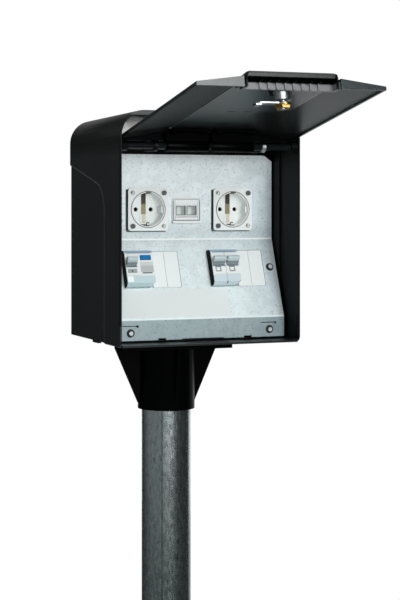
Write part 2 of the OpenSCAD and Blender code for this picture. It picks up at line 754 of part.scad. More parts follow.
// Brass sleeves that take the plug's pins
module pin_contacts() color(brass) at_sockets() for (s = [-1, 1])
    translate([s * pin_pitch / 2, 0, -socket_deep + 2]) difference() {
        cylinder(d = pin_hole + 1.3, h = socket_deep - recess_deep + plate_t - 5.1);
        translate([0, 0, -1]) cylinder(d = pin_hole - 0.3, h = socket_deep);
    }
module socket_screws() color(grey) at_sockets() at_plate_screws() translate([0, 0, plate_t])
    screw(small_d, plate_t + 4);

// Twin data outlet: frame through the panel with two jacks in it
module data_module() color(white) on_face(box_z + data_h) translate([data_x, 0, 0]) difference() {
    union() {
        translate([-data_w / 2, -data_tall / 2, 0]) cube([data_w, data_tall, data_t]);
        translate([-data_w / 2, -data_tall / 2, 0]) cube(data_ledge);
        translate([data_rim + 0.2 - data_w / 2, data_rim + 0.2 - data_tall / 2, -data_deep])
            cube([data_w - 2 * data_rim - 0.4, data_tall - 2 * data_rim - 0.4, data_deep + 1]);
    }
    for (s = [-1, 1]) translate([s * jack_pitch / 2, 0, -data_deep - 1])
        translate([-jack_w / 2 - slip, -jack_tall / 2 - slip, 0])
            cube([jack_w + 2 * slip, jack_tall + 2 * slip, data_deep + 6]);
}
module data_jacks() color("#3b4244") on_face(box_z + data_h) translate([data_x, 0, 0]) for (s = [-1, 1])
    translate([s * jack_pitch / 2, 0, 0]) difference() {
        translate([-jack_w / 2, -jack_tall / 2, 2 - data_deep]) cube([jack_w, jack_tall, data_deep - 1]);
        translate([-port_w / 2, -port_tall / 2, -port_deep]) cube([port_w, port_tall, port_deep + 2]);
    }

// Top-hat rail behind the slope, and the screws that hold it to the casing's ledges
module din_rail() color(zinc) difference() {
    on_slope() along_x(-din_len / 2, din_len / 2) translate([slot_mid, -din_in]) {
        for (s = [-1, 1]) {
            translate([s * (din_w - din_edge) / 2 - din_edge / 2, -din_t]) square([din_edge, din_t]);
            translate([s * (din_web - din_t) / 2 - din_t / 2, -din_deep]) square([din_t, din_deep]);
        }
        translate([-din_web / 2, -din_deep]) square([din_web, din_t]);
    }
    at_rail_screws() translate([0, 0, -3]) cylinder(d = 4 + 1.5 * screw_free, h = 6);
}
module rail_screws() color(grey) at_rail_screws() screw(4, rail_screw_l);

// Outline of a two-module breaker: groove for the rail, shoulders behind the panel, nose through it
module breaker_outline() difference() {
    low = slot_mid - breaker_tall / 2;
    nose_low = slot_mid - slot_tall / 2 + nose_free;
    nose_high = slot_mid + slot_tall / 2 - nose_free;
    polygon([[low, -din_in - 2], [low, -3], [nose_low, -3], [nose_low, nose - 4], [nose_low + 3, nose],
        [nose_high - 5, nose], [nose_high - 1, nose - 3], [nose_high, nose - 6], [nose_high, -3],
        [low + breaker_tall, -3], [low + breaker_tall, -din_in - 2]]);
    translate([slot_mid - din_w / 2 - 0.2, -din_in - 3]) square([din_w + 0.4, 3]);
}
// Room in a breaker's nose for a toggle over its whole swing
module toggle_room(x, w) at_pivot(x - w / 2 - toggle_gap, x + w / 2 + toggle_gap) {
    circle(d = drum_d + 2 * toggle_gap);
    for (a = [-toggle_tilt, toggle_tilt]) rotate(a) translate([-lever_t / 2 - toggle_gap, 0])
        square([lever_t + 2 * toggle_gap, toggle_len]);
}

// Outline of a toggle round its pivot: drum and tilted lever with a round end
module toggle_outline() {
    circle(d = drum_d);
    rotate(-toggle_tilt) {
        translate([-lever_t / 2, 0]) square([lever_t, toggle_len - lever_t / 2]);
        translate([0, toggle_len - lever_t / 2]) circle(d = lever_t);
    }
}
module tie_outline(d) rotate(-toggle_tilt) translate([0, toggle_len - lever_t]) circle(d = d);
module at_pivot(x0, x1) translate([0, pivot_v, pivot_n]) along_x(x0, x1) children();

// Place of the test button, on the floor of its pocket, and its block with room round it
module at_button() translate([button_x, button_v, nose - button_deep]) children();
module button_block(room, z0, z1) translate([-button_size[0] / 2 - room, -button_size[1] / 2 - room, z0])
    cube([button_size[0] + 2 * room, button_size[1] + 2 * room, z1 - z0]);

// Breaker's body with its cover groove and the cut lower corner
module breaker(x) difference() {
    along_x(x, x + body_w) breaker_outline();
    translate([x - 1, groove_v, nose - groove_w]) cube([body_w + 2, groove_w, groove_w + 1]);
    translate([x + body_w, slot_mid - slot_tall / 2 + nose_free, -2]) rotate(45)
        translate([-cut_corner / 2, -cut_corner / 2, 0]) cube([cut_corner, cut_corner, nose + 4]);
}
module window(x, w) translate([x - w / 2, window_v, nose - window_deep]) cube([w, window_h, 1]);

// Residual-current breaker with one toggle and a test button
module rcbo_body() color(white) on_slope() difference() {
    breaker(left_x);
    toggle_room(rcbo_lever_x, rcbo_lever_w);
    window(rcbo_lever_x, rcbo_lever_w);
    translate([left_x + tag_x, tag_v, nose - window_deep]) cube(tag_size);
    at_button() button_block(toggle_gap, 0, button_deep + 1);
}
module rcbo_toggle() color(grey) on_slope()
    at_pivot(rcbo_lever_x - rcbo_lever_w / 2, rcbo_lever_x + rcbo_lever_w / 2) toggle_outline();
module test_button() color("#1e78ad") on_slope()
    at_button() button_block(0, button_foot, button_deep + button_h);

// Two-pole breaker, its two toggles joined by a tie
module mcb_body() color(white) on_slope() difference() {
    breaker(right_x);
    for (i = [0.5, 1.5]) {
        toggle_room(right_x + i * module_w, mcb_lever_w);
        window(right_x + i * module_w, mcb_lever_w / 2);
    }
}
module mcb_toggle(i) color(grey) on_slope() translate([right_x + i * module_w, 0, 0])
    at_pivot(-mcb_lever_w / 2, mcb_lever_w / 2) difference() {
        toggle_outline();
        tie_outline(tie_d + slip);
    }
module mcb_toggle_left() mcb_toggle(0.5);
module mcb_toggle_right() mcb_toggle(1.5);
module toggle_tie() color(grey) on_slope()
    at_pivot(right_x + tie_in, right_x + body_w - tie_in) tie_outline(tie_d);

// Single blanks that fill the rest of each slot, held behind the panel by their flanges
module blank_plates() color(white) on_slope() for (x = [left_x, right_x], i = [2, 3])
    translate([x + i * module_w + 0.1, slot_mid - slot_tall / 2 + 0.3, 0]) {
        translate([0, 0, -panel_t - 0.1]) cube([module_w - 0.3, slot_tall - 0.6, panel_t + 0.1]);
        translate([0, -2.5, -panel_t - 1.5]) cube([module_w - 0.3, slot_tall + 4.4, 1.5]);
    }

// Terminal block on the back wall, with its clamping screws
module terminal_block() color("#3f6f9a") difference() {
    translate([-terminal_w / 2, terminal_y, terminal_z - terminal_tall / 2])
        cube([terminal_w, terminal_deep, terminal_tall]);
    at_terminals() translate([0, 0, -terminal_screw_l]) cylinder(d = 6, h = terminal_screw_l + 1);
    at_terminals() translate([0, -terminal_tall / 2 - 0.1, -terminal_hole_in])
        cube([5, 10, 5], center = true);
}
module terminal_screws() color(grey) at_terminals() translate([0, 0, -terminal_screw_l]) difference() {
    cylinder(d = 5.8, h = 7);
    translate([-3, -0.5, 6]) cube([6, 1, 2]);
}

// Lid: shallow tray with a wide flat, two sloping wings and two small slots in its inner face
module lid_shell() color(black) on_lid() difference() {
    a = lid_w / 2;
    c = flat_w / 2;
    rise = (lid_bulge - lid_edge) / (a - c);
    inner = a - lid_wall;
    inner_edge = lid_edge + rise * lid_wall - lid_wall;
    translate([0, lid_top, 0]) rotate([90, 0, 0]) linear_extrude(lid_len)
        polygon([[-a, 0], [-a, lid_edge], [-c, lid_bulge], [c, lid_bulge], [a, lid_edge], [a, 0]]);
    translate([0, lid_top - lid_wall, 0]) rotate([90, 0, 0]) linear_extrude(lid_len - 2 * lid_wall)
        polygon([[-inner, -1], [-inner, inner_edge], [-c, flat_in], [c, flat_in],
            [inner, inner_edge], [inner, -1]]);
    translate([-c - slip, lid_end - 1, -1]) cube([flat_w + 2 * slip, handle_d + slip + 1, lid_bulge + 2]);
    translate([0, lock_y, 0]) cylinder(d = barrel_d + 0.2, h = lid_bulge + 1);
    for (x = [-tab_x, tab_x]) translate([x, tab_y, flat_in - 1]) cylinder(d = small_d + tap_free, h = 3);
    for (s = [-1, 1], dx = leaf_screws) translate([s * (lid_hinge_x + dx), leaf_screw_y, flat_in - 1])
        cylinder(d = small_d + tap_free, h = 3);
    for (x = mark_x) translate([x - mark_size[0] / 2, mark_y, flat_in - 0.1]) cube(mark_size);
}

// Knuckles screwed inside the lid that turn on the rod
module lid_hinges() color(black) both_sides() on_lid() difference() {
    x0 = lid_hinge_x - lid_hinge_w / 2;
    x1 = lid_hinge_x + lid_hinge_w / 2;
    union() {
        translate([0, 0, -hinge_in]) rod_x(x0, x1, knuckle_d);
        translate([x0, -stem_w / 2, -hinge_in]) cube([lid_hinge_w, stem_w, hinge_in + flat_in]);
        translate([x0, -leaf_len, flat_in - leaf_t]) cube([lid_hinge_w, leaf_len + 2, leaf_t]);
    }
    translate([0, 0, -hinge_in]) rod_x(x0 - 1, x1 + 1, rod_d + 2 * run);
    for (dx = leaf_screws) translate([lid_hinge_x + dx, leaf_screw_y, flat_in - 4])
        cylinder(d = small_d + screw_free, h = 5);
}
module lid_hinge_screws() color(zinc) at_lid_hinge_screws() screw(small_d, leaf_screw_l);

// Ribbed finger grip let into the lid's free end, with two tabs inside the lid
module grip_outline(half) {
    side = half - handle_r;
    translate([-half, -1]) square([2 * half, handle_h - handle_r + 1]);
    translate([-side, -1]) square([2 * side, handle_h + 1]);
    for (x = [-side, side]) translate([x, handle_h - handle_r]) circle(handle_r);
}
module grip_plan(half) {
    side = half - grip_r;
    translate([-half, lid_end + grip_r]) square([2 * half, handle_d]);
    translate([-side, lid_end]) square([2 * side, handle_d]);
    for (x = [-side, side]) translate([x, lid_end + grip_r]) circle(grip_r);
}
module lid_handle() color(black) on_lid() difference() {
    half = flat_w / 2 - slip;
    deep = handle_d - grip_back;
    lip_z = handle_h - grip_t;
    union() {
        difference() {
            intersection() {
                along_x(-half, half) translate([lid_end, 0])
                    polygon([[0, 0], [0, handle_h - 2], [2, handle_h], [7, handle_h],
                        [handle_d, lid_bulge + 1], [handle_d, 0]]);
                translate([0, lid_end + handle_d + 1, 0]) rotate([90, 0, 0]) linear_extrude(handle_d + 2)
                    grip_outline(half);
                linear_extrude(handle_h + 1) grip_plan(half);
            }
            translate([grip_end - half, lid_end - 1, -1]) cube([2 * (half - grip_end), deep + 1, lip_z + 1]);
        }
        for (i = [0 : rib_n - 1]) translate([(i - (rib_n - 1) / 2) * rib_pitch, lid_end, 0])
            along_x(-rib_t / 2, rib_t / 2) polygon([[1.5, lip_z + 0.5], [deep + 0.5, lip_z + 0.5],
                [deep + 0.5, 0.5], [deep - rib_back, 0.5], [deep - rib_back, lip_z - rib_h],
                [1.5, lip_z - rib_h]]);
        both_sides() translate([tab_x - tab_w / 2, lid_end + handle_d - 1, flat_in - leaf_t])
            cube([tab_w, tab_len, leaf_t]);
    }
    for (x = [-tab_x, tab_x]) translate([x, tab_y, flat_in - 4]) cylinder(d = small_d + screw_free, h = 5);
}
module handle_screws() color(zinc) at_handle_screws() screw(small_d, leaf_screw_l);

// Cam lock: fixed barrel and nut, and a plug that carries the cam
module lock_body() color(zinc) on_lid() translate([0, lock_y, 0]) difference() {
    union() {
        translate([0, 0, -barrel_low]) cylinder(d = barrel_d, h = barrel_low + lid_bulge + 1);
        translate([0, 0, lid_bulge]) cylinder(d = barrel_d + 6, h = collar_t);
    }
    translate([0, 0, -barrel_low - 1]) cylinder(d = plug_d + 2 * run, h = barrel_low + lid_bulge + 5);
}
module lock_nut() color(black) on_lid() translate([0, lock_y, flat_in - lock_nut_t]) difference() {
    hex(lock_flats, lock_nut_t);
    translate([0, 0, -1]) cylinder(d = barrel_d + 0.2, h = lock_nut_t + 2);
}
module lock_plug() color(zinc) on_lid() translate([0, lock_y, 0]) difference() {
    union() {
        translate([0, 0, -barrel_low]) cylinder(d = plug_d, h = barrel_low + lid_bulge + collar_t);
        translate([0, 0, -cam_in - cam_t - cam_nut_t - 1])
            cylinder(d = shaft_d, h = cam_in + cam_t + cam_nut_t + 2);
    }
    translate([-0.6, -3.5, lid_bulge - 1]) cube([1.2, 7, 5]);
}
module lock_cam() color(zinc) on_lid() translate([0, lock_y, -cam_in - cam_t]) difference() {
    union() {
        cylinder(d = shaft_d + 7, h = cam_t);
        translate([crank_len - 2 - cam_reach, -cam_w / 2, 0]) cube([cam_reach - crank_len + 2, cam_w, cam_t]);
        translate([-cam_reach, -cam_w / 2, -cam_t]) cube([crank_len, cam_w, cam_t + 0.4]);
    }
    translate([0, 0, -1]) cylinder(d = shaft_d + 0.1, h = cam_t + 2);
}
module cam_nut() color(brass) on_lid() translate([0, lock_y, -cam_in - cam_t - cam_nut_t]) difference() {
    union() {
        hex(2 * shaft_d, cam_nut_t);
        translate([0, 0, cam_nut_t - cam_washer_t]) cylinder(d = 2 * shaft_d + 3, h = cam_washer_t);
    }
    translate([0, 0, -1]) cylinder(d = shaft_d + 0.1, h = cam_nut_t + 2);
}

pole();
post_adaptor();
set_screws();
flange_bolts();
flange_nuts();
rear_casing();
cable_grommet();
front_hood();
hood_screws();
transom_plate();
transom_screws();
hinge_brackets();
bracket_screws();
hinge_rod();
device_panel();
panel_screws();
label_sheet();
socket_left();
socket_right();
earth_straps();
pin_contacts();
socket_screws();
data_module();
data_jacks();
din_rail();
rail_screws();
rcbo_body();
rcbo_toggle();
test_button();
mcb_body();
mcb_toggle_left();
mcb_toggle_right();
toggle_tie();
blank_plates();
terminal_block();
terminal_screws();
lid_shell();
lid_hinges();
lid_hinge_screws();
lid_handle();
handle_screws();
lock_body();
lock_nut();
lock_plug();
lock_cam();
cam_nut();
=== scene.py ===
"""Garden socket post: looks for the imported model, in metres, in the model's own frame."""
import math

import bpy
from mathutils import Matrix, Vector


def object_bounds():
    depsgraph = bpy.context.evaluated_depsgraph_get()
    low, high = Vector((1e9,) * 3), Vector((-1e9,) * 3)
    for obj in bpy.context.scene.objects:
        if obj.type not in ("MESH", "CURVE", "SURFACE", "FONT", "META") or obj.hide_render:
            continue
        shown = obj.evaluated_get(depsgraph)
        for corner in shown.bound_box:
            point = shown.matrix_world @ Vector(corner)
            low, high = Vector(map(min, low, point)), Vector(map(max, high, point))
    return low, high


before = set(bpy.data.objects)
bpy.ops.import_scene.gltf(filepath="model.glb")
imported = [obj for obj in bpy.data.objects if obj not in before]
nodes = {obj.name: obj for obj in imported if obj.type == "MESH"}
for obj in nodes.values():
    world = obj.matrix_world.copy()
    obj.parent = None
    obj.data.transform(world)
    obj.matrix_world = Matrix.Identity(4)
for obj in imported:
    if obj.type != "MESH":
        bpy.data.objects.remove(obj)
cad_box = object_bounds()


# Studio: camera at eye level, a little left of the mouth, as far off as a short tele lens stands.
# The floor is pale near the post and runs out into the white of the backdrop. A dark curtain, seen only in
# reflections, stands round the set, open behind the post, where a grey board lies on the floor.
IMAGE_W, IMAGE_H, SENSOR = 400, 600, 36.0
CAMERA_YAW = math.radians(21.265)
CAMERA_FAR, CAMERA_HIGH = 1.9347, 0.7607
FOCAL_PX, AXIS_X, AXIS_Y = 1572.0, 166.14, 202.05

camera_data = bpy.data.cameras.new("studio_camera")
camera = bpy.data.objects.new("studio_camera", camera_data)
camera_data.sensor_width = SENSOR
camera_data.lens = FOCAL_PX / IMAGE_H * SENSOR
camera_data.shift_x = (IMAGE_W / 2 - AXIS_X) / IMAGE_H
camera_data.shift_y = (AXIS_Y - IMAGE_H / 2) / IMAGE_H
looking = Vector((math.sin(CAMERA_YAW), math.cos(CAMERA_YAW), 0))
camera.location = -CAMERA_FAR * looking + Vector((0, 0, CAMERA_HIGH))
camera.rotation_euler = looking.to_track_quat("-Z", "Y").to_euler()
bpy.context.scene.collection.objects.link(camera)
bpy.context.scene.camera = camera
bpy.context.scene.view_settings.view_transform = "Standard"

BOX_MIDDLE = Vector((0, -0.08, 0.73))
for name, spot, size, power in (("key_lamp", (0.1, -2.4, 1.02), 0.9, 20),
                                ("top_lamp", (0.6, -2.17, 1.78), 0.5, 13),
                                ("fill_lamp", (-0.8, -2.0, 0.8), 0.4, 5),
                                ("rim_lamp", (-1.7, 1.3, 1.5), 0.8, 5)):
    lamp_data = bpy.data.lights.new(name, "AREA")
    lamp_data.size, lamp_data.energy = size, power
    lamp = bpy.data.objects.new(name, lamp_data)
    lamp.location = spot
    lamp.rotation_euler = (BOX_MIDDLE - Vector(spot)).to_track_quat("-Z", "Y").to_euler()
    bpy.context.scene.collection.objects.link(lamp)


def add(tree, kind, place=(0, 0), **values):
    """A node of some kind in a tree, with its settings and its inputs given by name."""
    made = tree.nodes.new(kind)
    made.location = place
    for key, value in values.items():
        if hasattr(made, key):
            setattr(made, key, value)
        else:
            made.inputs[key.replace("_", " ")].default_value = value
    return made


def seen_directly(tree):
    """1 for what the camera sees straight, in a reflection or through glass, and 0 for what lights."""
    path = add(tree, "ShaderNodeLightPath", (-700, 300))
    gloss = add(tree, "ShaderNodeMath", (-500, 300), operation="MAXIMUM")
    glass = add(tree, "ShaderNodeMath", (-320, 300), operation="MAXIMUM")
    tree.links.new(path.outputs["Is Camera Ray"], gloss.inputs[0])
    tree.links.new(path.outputs["Is Glossy Ray"], gloss.inputs[1])
    tree.links.new(gloss.outputs[0], glass.inputs[0])
    tree.links.new(path.outputs["Is Transmission Ray"], glass.inputs[1])
    return glass.outputs[0]


def blank_material(name):
    """A new material with an empty tree, and that tree."""
    made = bpy.data.materials.new(name)
    made.use_nodes = True
    made.node_tree.nodes.clear()
    return made, made.node_tree


def link_mesh(name, points, faces):
    """A new object with a mesh, put in the scene."""
    mesh = bpy.data.meshes.new(name)
    mesh.from_pydata(points, [], faces)
    made = bpy.data.objects.new(name, mesh)
    bpy.context.scene.collection.objects.link(made)
    return made


def screen(name, bearings, steps, line):
    """A sheet round the set between two bearings in degrees, along a line of distances and heights."""
    first, last = bearings
    turns = [math.radians(first + (last - first) * i / steps) for i in range(steps + 1)]
    wide = len(line)
    points = [(far * math.sin(turn), far * math.cos(turn), z) for turn in turns for far, z in line]
    faces = [(wide * i + k, wide * i + k + wide, wide * i + k + wide + 1, wide * i + k + 1)
             for i in range(steps) for k in range(wide - 1)]
    return link_mesh(name, points, faces)


WHITE = (1, 1, 1, 1)
AMBIENT_TONE, AMBIENT_POWER = (0.95, 0.985, 1, 1), 0.34
world = bpy.data.worlds.new("studio_world")
bpy.context.scene.world = world
world.use_nodes = True
tree = world.node_tree
tree.nodes.clear()
backdrop = add(tree, "ShaderNodeBackground", (-200, 0), Color=WHITE, Strength=1.0)
ambient = add(tree, "ShaderNodeBackground", (-200, -150), Color=AMBIENT_TONE, Strength=AMBIENT_POWER)
split = add(tree, "ShaderNodeMixShader", (0, 0))
sky = add(tree, "ShaderNodeOutputWorld", (200, 0))
tree.links.new(seen_directly(tree), split.inputs[0])
tree.links.new(ambient.outputs[0], split.inputs[1])
tree.links.new(backdrop.outputs[0], split.inputs[2])
tree.links.new(split.outputs[0], sky.inputs[0])

FLOOR_HALF, FLOOR_FADE, FLOOR_GAP = 9.0, (0.45, 0.95), 0.0005
FLOOR_TONE = (0.86, 0.86, 0.86, 1)
floor_corners = ((-1, -1), (1, -1), (1, 1), (-1, 1))
floor = link_mesh("floor", [(x * FLOOR_HALF, y * FLOOR_HALF, 0) for x, y in floor_corners], [(0, 1, 2, 3)])
floor.location.z = cad_box[0].z - FLOOR_GAP
floor_paint, tree = blank_material("floor_paint")
pale = add(tree, "ShaderNodeBsdfDiffuse", (-100, 0), Color=FLOOR_TONE)
white = add(tree, "ShaderNodeEmission", (-100, -150), Color=WHITE, Strength=1.0)
spot = add(tree, "ShaderNodeTexCoord", (-900, 0))
reach = add(tree, "ShaderNodeVectorMath", (-720, 0), operation="LENGTH")
fade = add(tree, "ShaderNodeMapRange", (-540, 0), interpolation_type="SMOOTHSTEP")
fade.inputs["From Min"].default_value, fade.inputs["From Max"].default_value = FLOOR_FADE
far_and_seen = add(tree, "ShaderNodeMath", (-300, 100), operation="MULTIPLY")
laid = add(tree, "ShaderNodeMixShader", (100, 0))
out = add(tree, "ShaderNodeOutputMaterial", (300, 0))
tree.links.new(spot.outputs["Object"], reach.inputs[0])
tree.links.new(reach.outputs["Value"], fade.inputs["Value"])
tree.links.new(fade.outputs[0], far_and_seen.inputs[0])
tree.links.new(seen_directly(tree), far_and_seen.inputs[1])
tree.links.new(far_and_seen.outputs[0], laid.inputs[0])
tree.links.new(pale.outputs[0], laid.inputs[1])
tree.links.new(white.outputs[0], laid.inputs[2])
tree.links.new(laid.outputs[0], out.inputs[0])
floor.data.materials.append(floor_paint)

CURTAIN_NEAR, CURTAIN_FAR, CURTAIN_TALL = 0.5, 3.6, 7.0
CURTAIN_OPEN, CURTAIN_STEPS, LIFT = (0, 68), 48, 0.001
CURTAIN_GLOW, CURTAIN_DIM, CURTAIN_LIT = (-0.93, -0.37, 0.0), 0.04, 0.265
CURTAIN_TONE = (0.92, 0.98, 1, 1)
BOARD_FAR, BOARD_GLOW, BOARD_STEPS = 2.0, 0.42, 12
curtain = screen("curtain", (CURTAIN_OPEN[1], 360 + CURTAIN_OPEN[0]), CURTAIN_STEPS,
                 ((CURTAIN_NEAR, LIFT), (CURTAIN_FAR, LIFT), (CURTAIN_FAR, CURTAIN_TALL)))
board = screen("board", CURTAIN_OPEN, BOARD_STEPS, ((CURTAIN_NEAR, LIFT), (BOARD_FAR, LIFT)))
for hidden in (curtain, board):
    hidden.visible_camera = hidden.visible_diffuse = hidden.visible_shadow = False
    hidden.visible_transmission = hidden.visible_volume_scatter = False
board_paint, tree = blank_material("board_paint")
grey = add(tree, "ShaderNodeEmission", (0, 0), Color=WHITE, Strength=BOARD_GLOW)
out = add(tree, "ShaderNodeOutputMaterial", (200, 0))
tree.links.new(grey.outputs[0], out.inputs[0])
board.data.materials.append(board_paint)
curtain_cloth, tree = blank_material("curtain_cloth")
spot = add(tree, "ShaderNodeTexCoord", (-800, 0))
toward = add(tree, "ShaderNodeVectorMath", (-620, 0), operation="DOT_PRODUCT")
toward.inputs[1].default_value = CURTAIN_GLOW
glow = add(tree, "ShaderNodeMapRange", (-440, 0), interpolation_type="SMOOTHSTEP")
glow.inputs["From Min"].default_value, glow.inputs["From Max"].default_value = 0.0, CURTAIN_FAR
glow.inputs["To Min"].default_value, glow.inputs["To Max"].default_value = CURTAIN_DIM, CURTAIN_LIT
cloth = add(tree, "ShaderNodeEmission", (0, 0), Color=CURTAIN_TONE)
out = add(tree, "ShaderNodeOutputMaterial", (200, 0))
tree.links.new(spot.outputs["Object"], toward.inputs[0])
tree.links.new(toward.outputs["Value"], glow.inputs["Value"])
tree.links.new(glow.outputs[0], cloth.inputs["Strength"])
tree.links.new(cloth.outputs[0], out.inputs[0])
curtain.data.materials.append(curtain_cloth)


# Pole: a welded steel pipe, hot-dip galvanised, so its zinc is dull and pitted, with a dark seam along it.
# Plain at its lower end, and held in the adaptor's sleeve at its top.
FLOWER_SHARE, SPECK_SHARE, PIT_EDGES = 0.55, 0.18, (0.57, 0.71)
BUMP_DEPTH, WELD_GAP, SHARP = 0.0004, 0.00001, math.radians(40)
MM, UPWARD, ANY_DEPTH = 1000.0, 0.5, (-99.0, 99.0)


def srgb(*levels):
    """A colour given from 0 to 255, as on a screen, as the linear colour that a node takes."""
    share = [level / 255 for level in levels]
    return tuple(s / 12.92 if s <= 0.04045 else ((s + 0.055) / 1.055) ** 2.4 for s in share) + (1.0,)


def shade_group(name, inputs, outputs):
    """A new shader group with named inputs, each with its usual value, and named outputs."""
    group = bpy.data.node_groups.new(name, "ShaderNodeTree")
    for key, value in inputs.items():
        kind = "NodeSocketColor" if isinstance(value, tuple) else "NodeSocketFloat"
        group.interface.new_socket(key, in_out="INPUT", socket_type=kind).default_value = value
    for key, kind in outputs.items():
        group.interface.new_socket(key, in_out="OUTPUT", socket_type=kind)
    return group, add(group, "NodeGroupInput", (-1100, 0)), add(group, "NodeGroupOutput", (700, 0))


SKIN = {"Color": "NodeSocketColor", "Roughness": "NodeSocketFloat", "Height": "NodeSocketFloat"}
zinc_bloom, given, made = shade_group(
    "zinc_bloom",
    {"Light": (0.6, 0.65, 0.66, 1.0), "Dark": (0.45, 0.5, 0.51, 1.0), "Flowers": 60.0, "Stretch": 1.0,
     "Dull": 0.5, "Spread": 0.14, "Pits": 0.0}, SKIN)
tree = zinc_bloom
place = add(tree, "ShaderNodeTexCoord", (-1300, -200))
long_way = add(tree, "ShaderNodeCombineXYZ", (-1000, -300), X=1.0, Y=1.0)
drawn = add(tree, "ShaderNodeVectorMath", (-850, -200), operation="MULTIPLY")
flowers = add(tree, "ShaderNodeTexVoronoi", (-650, 100), feature="F1")
mist = add(tree, "ShaderNodeTexNoise", (-650, -150), Scale=14.0, Detail=4.0)
speck = add(tree, "ShaderNodeTexNoise", (-650, -400), Scale=900.0, Detail=2.0)
pits = add(tree, "ShaderNodeTexNoise", (-650, -650), Scale=430.0, Detail=1.0)
tone = add(tree, "ShaderNodeSeparateColor", (-450, 100))
clouded = add(tree, "ShaderNodeMix", (-250, 50), data_type="FLOAT")
clouded.inputs["Factor"].default_value = FLOWER_SHARE
specked = add(tree, "ShaderNodeMix", (-80, 0), data_type="FLOAT")
specked.inputs["Factor"].default_value = SPECK_SHARE
colour = add(tree, "ShaderNodeMix", (150, 100), data_type="RGBA")
swing = add(tree, "ShaderNodeMath", (150, -150), operation="MULTIPLY_ADD")
pitted = add(tree, "ShaderNodeMapRange", (-450, -650))
for key, value in zip(("From Min", "From Max", "To Min", "To Max"), (*PIT_EDGES, 1.0, 0.0)):
    pitted.inputs[key].default_value = value
depth = add(tree, "ShaderNodeMix", (150, -650), data_type="FLOAT", A=1.0)
darker = add(tree, "ShaderNodeVectorMath", (400, 100), operation="SCALE")
tree.links.new(given.outputs["Stretch"], long_way.inputs["Z"])
tree.links.new(place.outputs["Object"], drawn.inputs[0])
tree.links.new(long_way.outputs[0], drawn.inputs[1])
for texture in (flowers, mist, speck, pits):
    tree.links.new(drawn.outputs[0], texture.inputs["Vector"])
tree.links.new(given.outputs["Flowers"], flowers.inputs["Scale"])
tree.links.new(flowers.outputs["Color"], tone.inputs[0])
tree.links.new(tone.outputs[0], clouded.inputs["A"])
tree.links.new(mist.outputs[0], clouded.inputs["B"])
tree.links.new(clouded.outputs[0], specked.inputs["A"])
tree.links.new(speck.outputs[0], specked.inputs["B"])
tree.links.new(specked.outputs[0], colour.inputs["Factor"])
tree.links.new(given.outputs["Dark"], colour.inputs["A"])
tree.links.new(given.outputs["Light"], colour.inputs["B"])
tree.links.new(specked.outputs[0], swing.inputs[0])
tree.links.new(given.outputs["Spread"], swing.inputs[1])
tree.links.new(given.outputs["Dull"], swing.inputs[2])
tree.links.new(pits.outputs[0], pitted.inputs["Value"])
tree.links.new(given.outputs["Pits"], depth.inputs["Factor"])
tree.links.new(pitted.outputs[0], depth.inputs["B"])
tree.links.new(colour.outputs["Result"], darker.inputs[0])
tree.links.new(depth.outputs[0], darker.inputs["Scale"])
tree.links.new(darker.outputs[0], made.inputs["Color"])
tree.links.new(swing.outputs[0], made.inputs["Roughness"])
tree.links.new(specked.outputs[0], made.inputs["Height"])


def finish(name, group, values, bump=0.0, **surface):
    """A material with colour, roughness and height from a group, and with its other values constant."""
    made, tree = blank_material(name)
    look = add(tree, "ShaderNodeBsdfPrincipled", (0, 0), **surface)
    end = add(tree, "ShaderNodeOutputMaterial", (300, 0))
    tree.links.new(look.outputs[0], end.inputs[0])
    skin = add(tree, "ShaderNodeGroup", (-300, 0), node_tree=group)
    for key, value in values.items():
        skin.inputs[key].default_value = value
    tree.links.new(skin.outputs["Color"], look.inputs["Base Color"])
    tree.links.new(skin.outputs["Roughness"], look.inputs["Roughness"])
    if bump:
        relief = add(tree, "ShaderNodeBump", (-150, -300), Distance=BUMP_DEPTH, Strength=bump)
        tree.links.new(skin.outputs["Height"], relief.inputs["Height"])
        tree.links.new(relief.outputs[0], look.inputs["Normal"])
    return made


def dress(material, *names, edge=0.0):
    """Give carried-over pieces a material and, where edge says so, a small round on their sharp edges."""
    for name in names:
        piece = nodes[name]
        piece.data.materials.clear()
        piece.data.materials.append(material)
        if edge:
            joined = piece.modifiers.new("joined", "WELD")
            joined.merge_threshold = WELD_GAP
            rounded = piece.modifiers.new("rounded", "BEVEL")
            rounded.width, rounded.segments = edge, 2
            rounded.limit_method, rounded.angle_limit = "ANGLE", SHARP
            rounded.use_clamp_overlap = True
            rounded.harden_normals = True


def worked(tree, operation, *values, place=(0, 0)):
    """The result of a sum in a tree, from sockets and numbers."""
    node = add(tree, "ShaderNodeMath", place, operation=operation)
    for socket, value in zip(node.inputs, values):
        if isinstance(value, float):
            socket.default_value = value
        else:
            tree.links.new(value, socket)
    return node.outputs[0]


def within(tree, distance, soft):
    """1 where a distance is below nought, 0 where it is above, with a soft change between."""
    share = worked(tree, "DIVIDE", distance, soft)
    return worked(tree, "MINIMUM", worked(tree, "MAXIMUM", worked(tree, "SUBTRACT", 0.5, share), 0.0), 1.0)


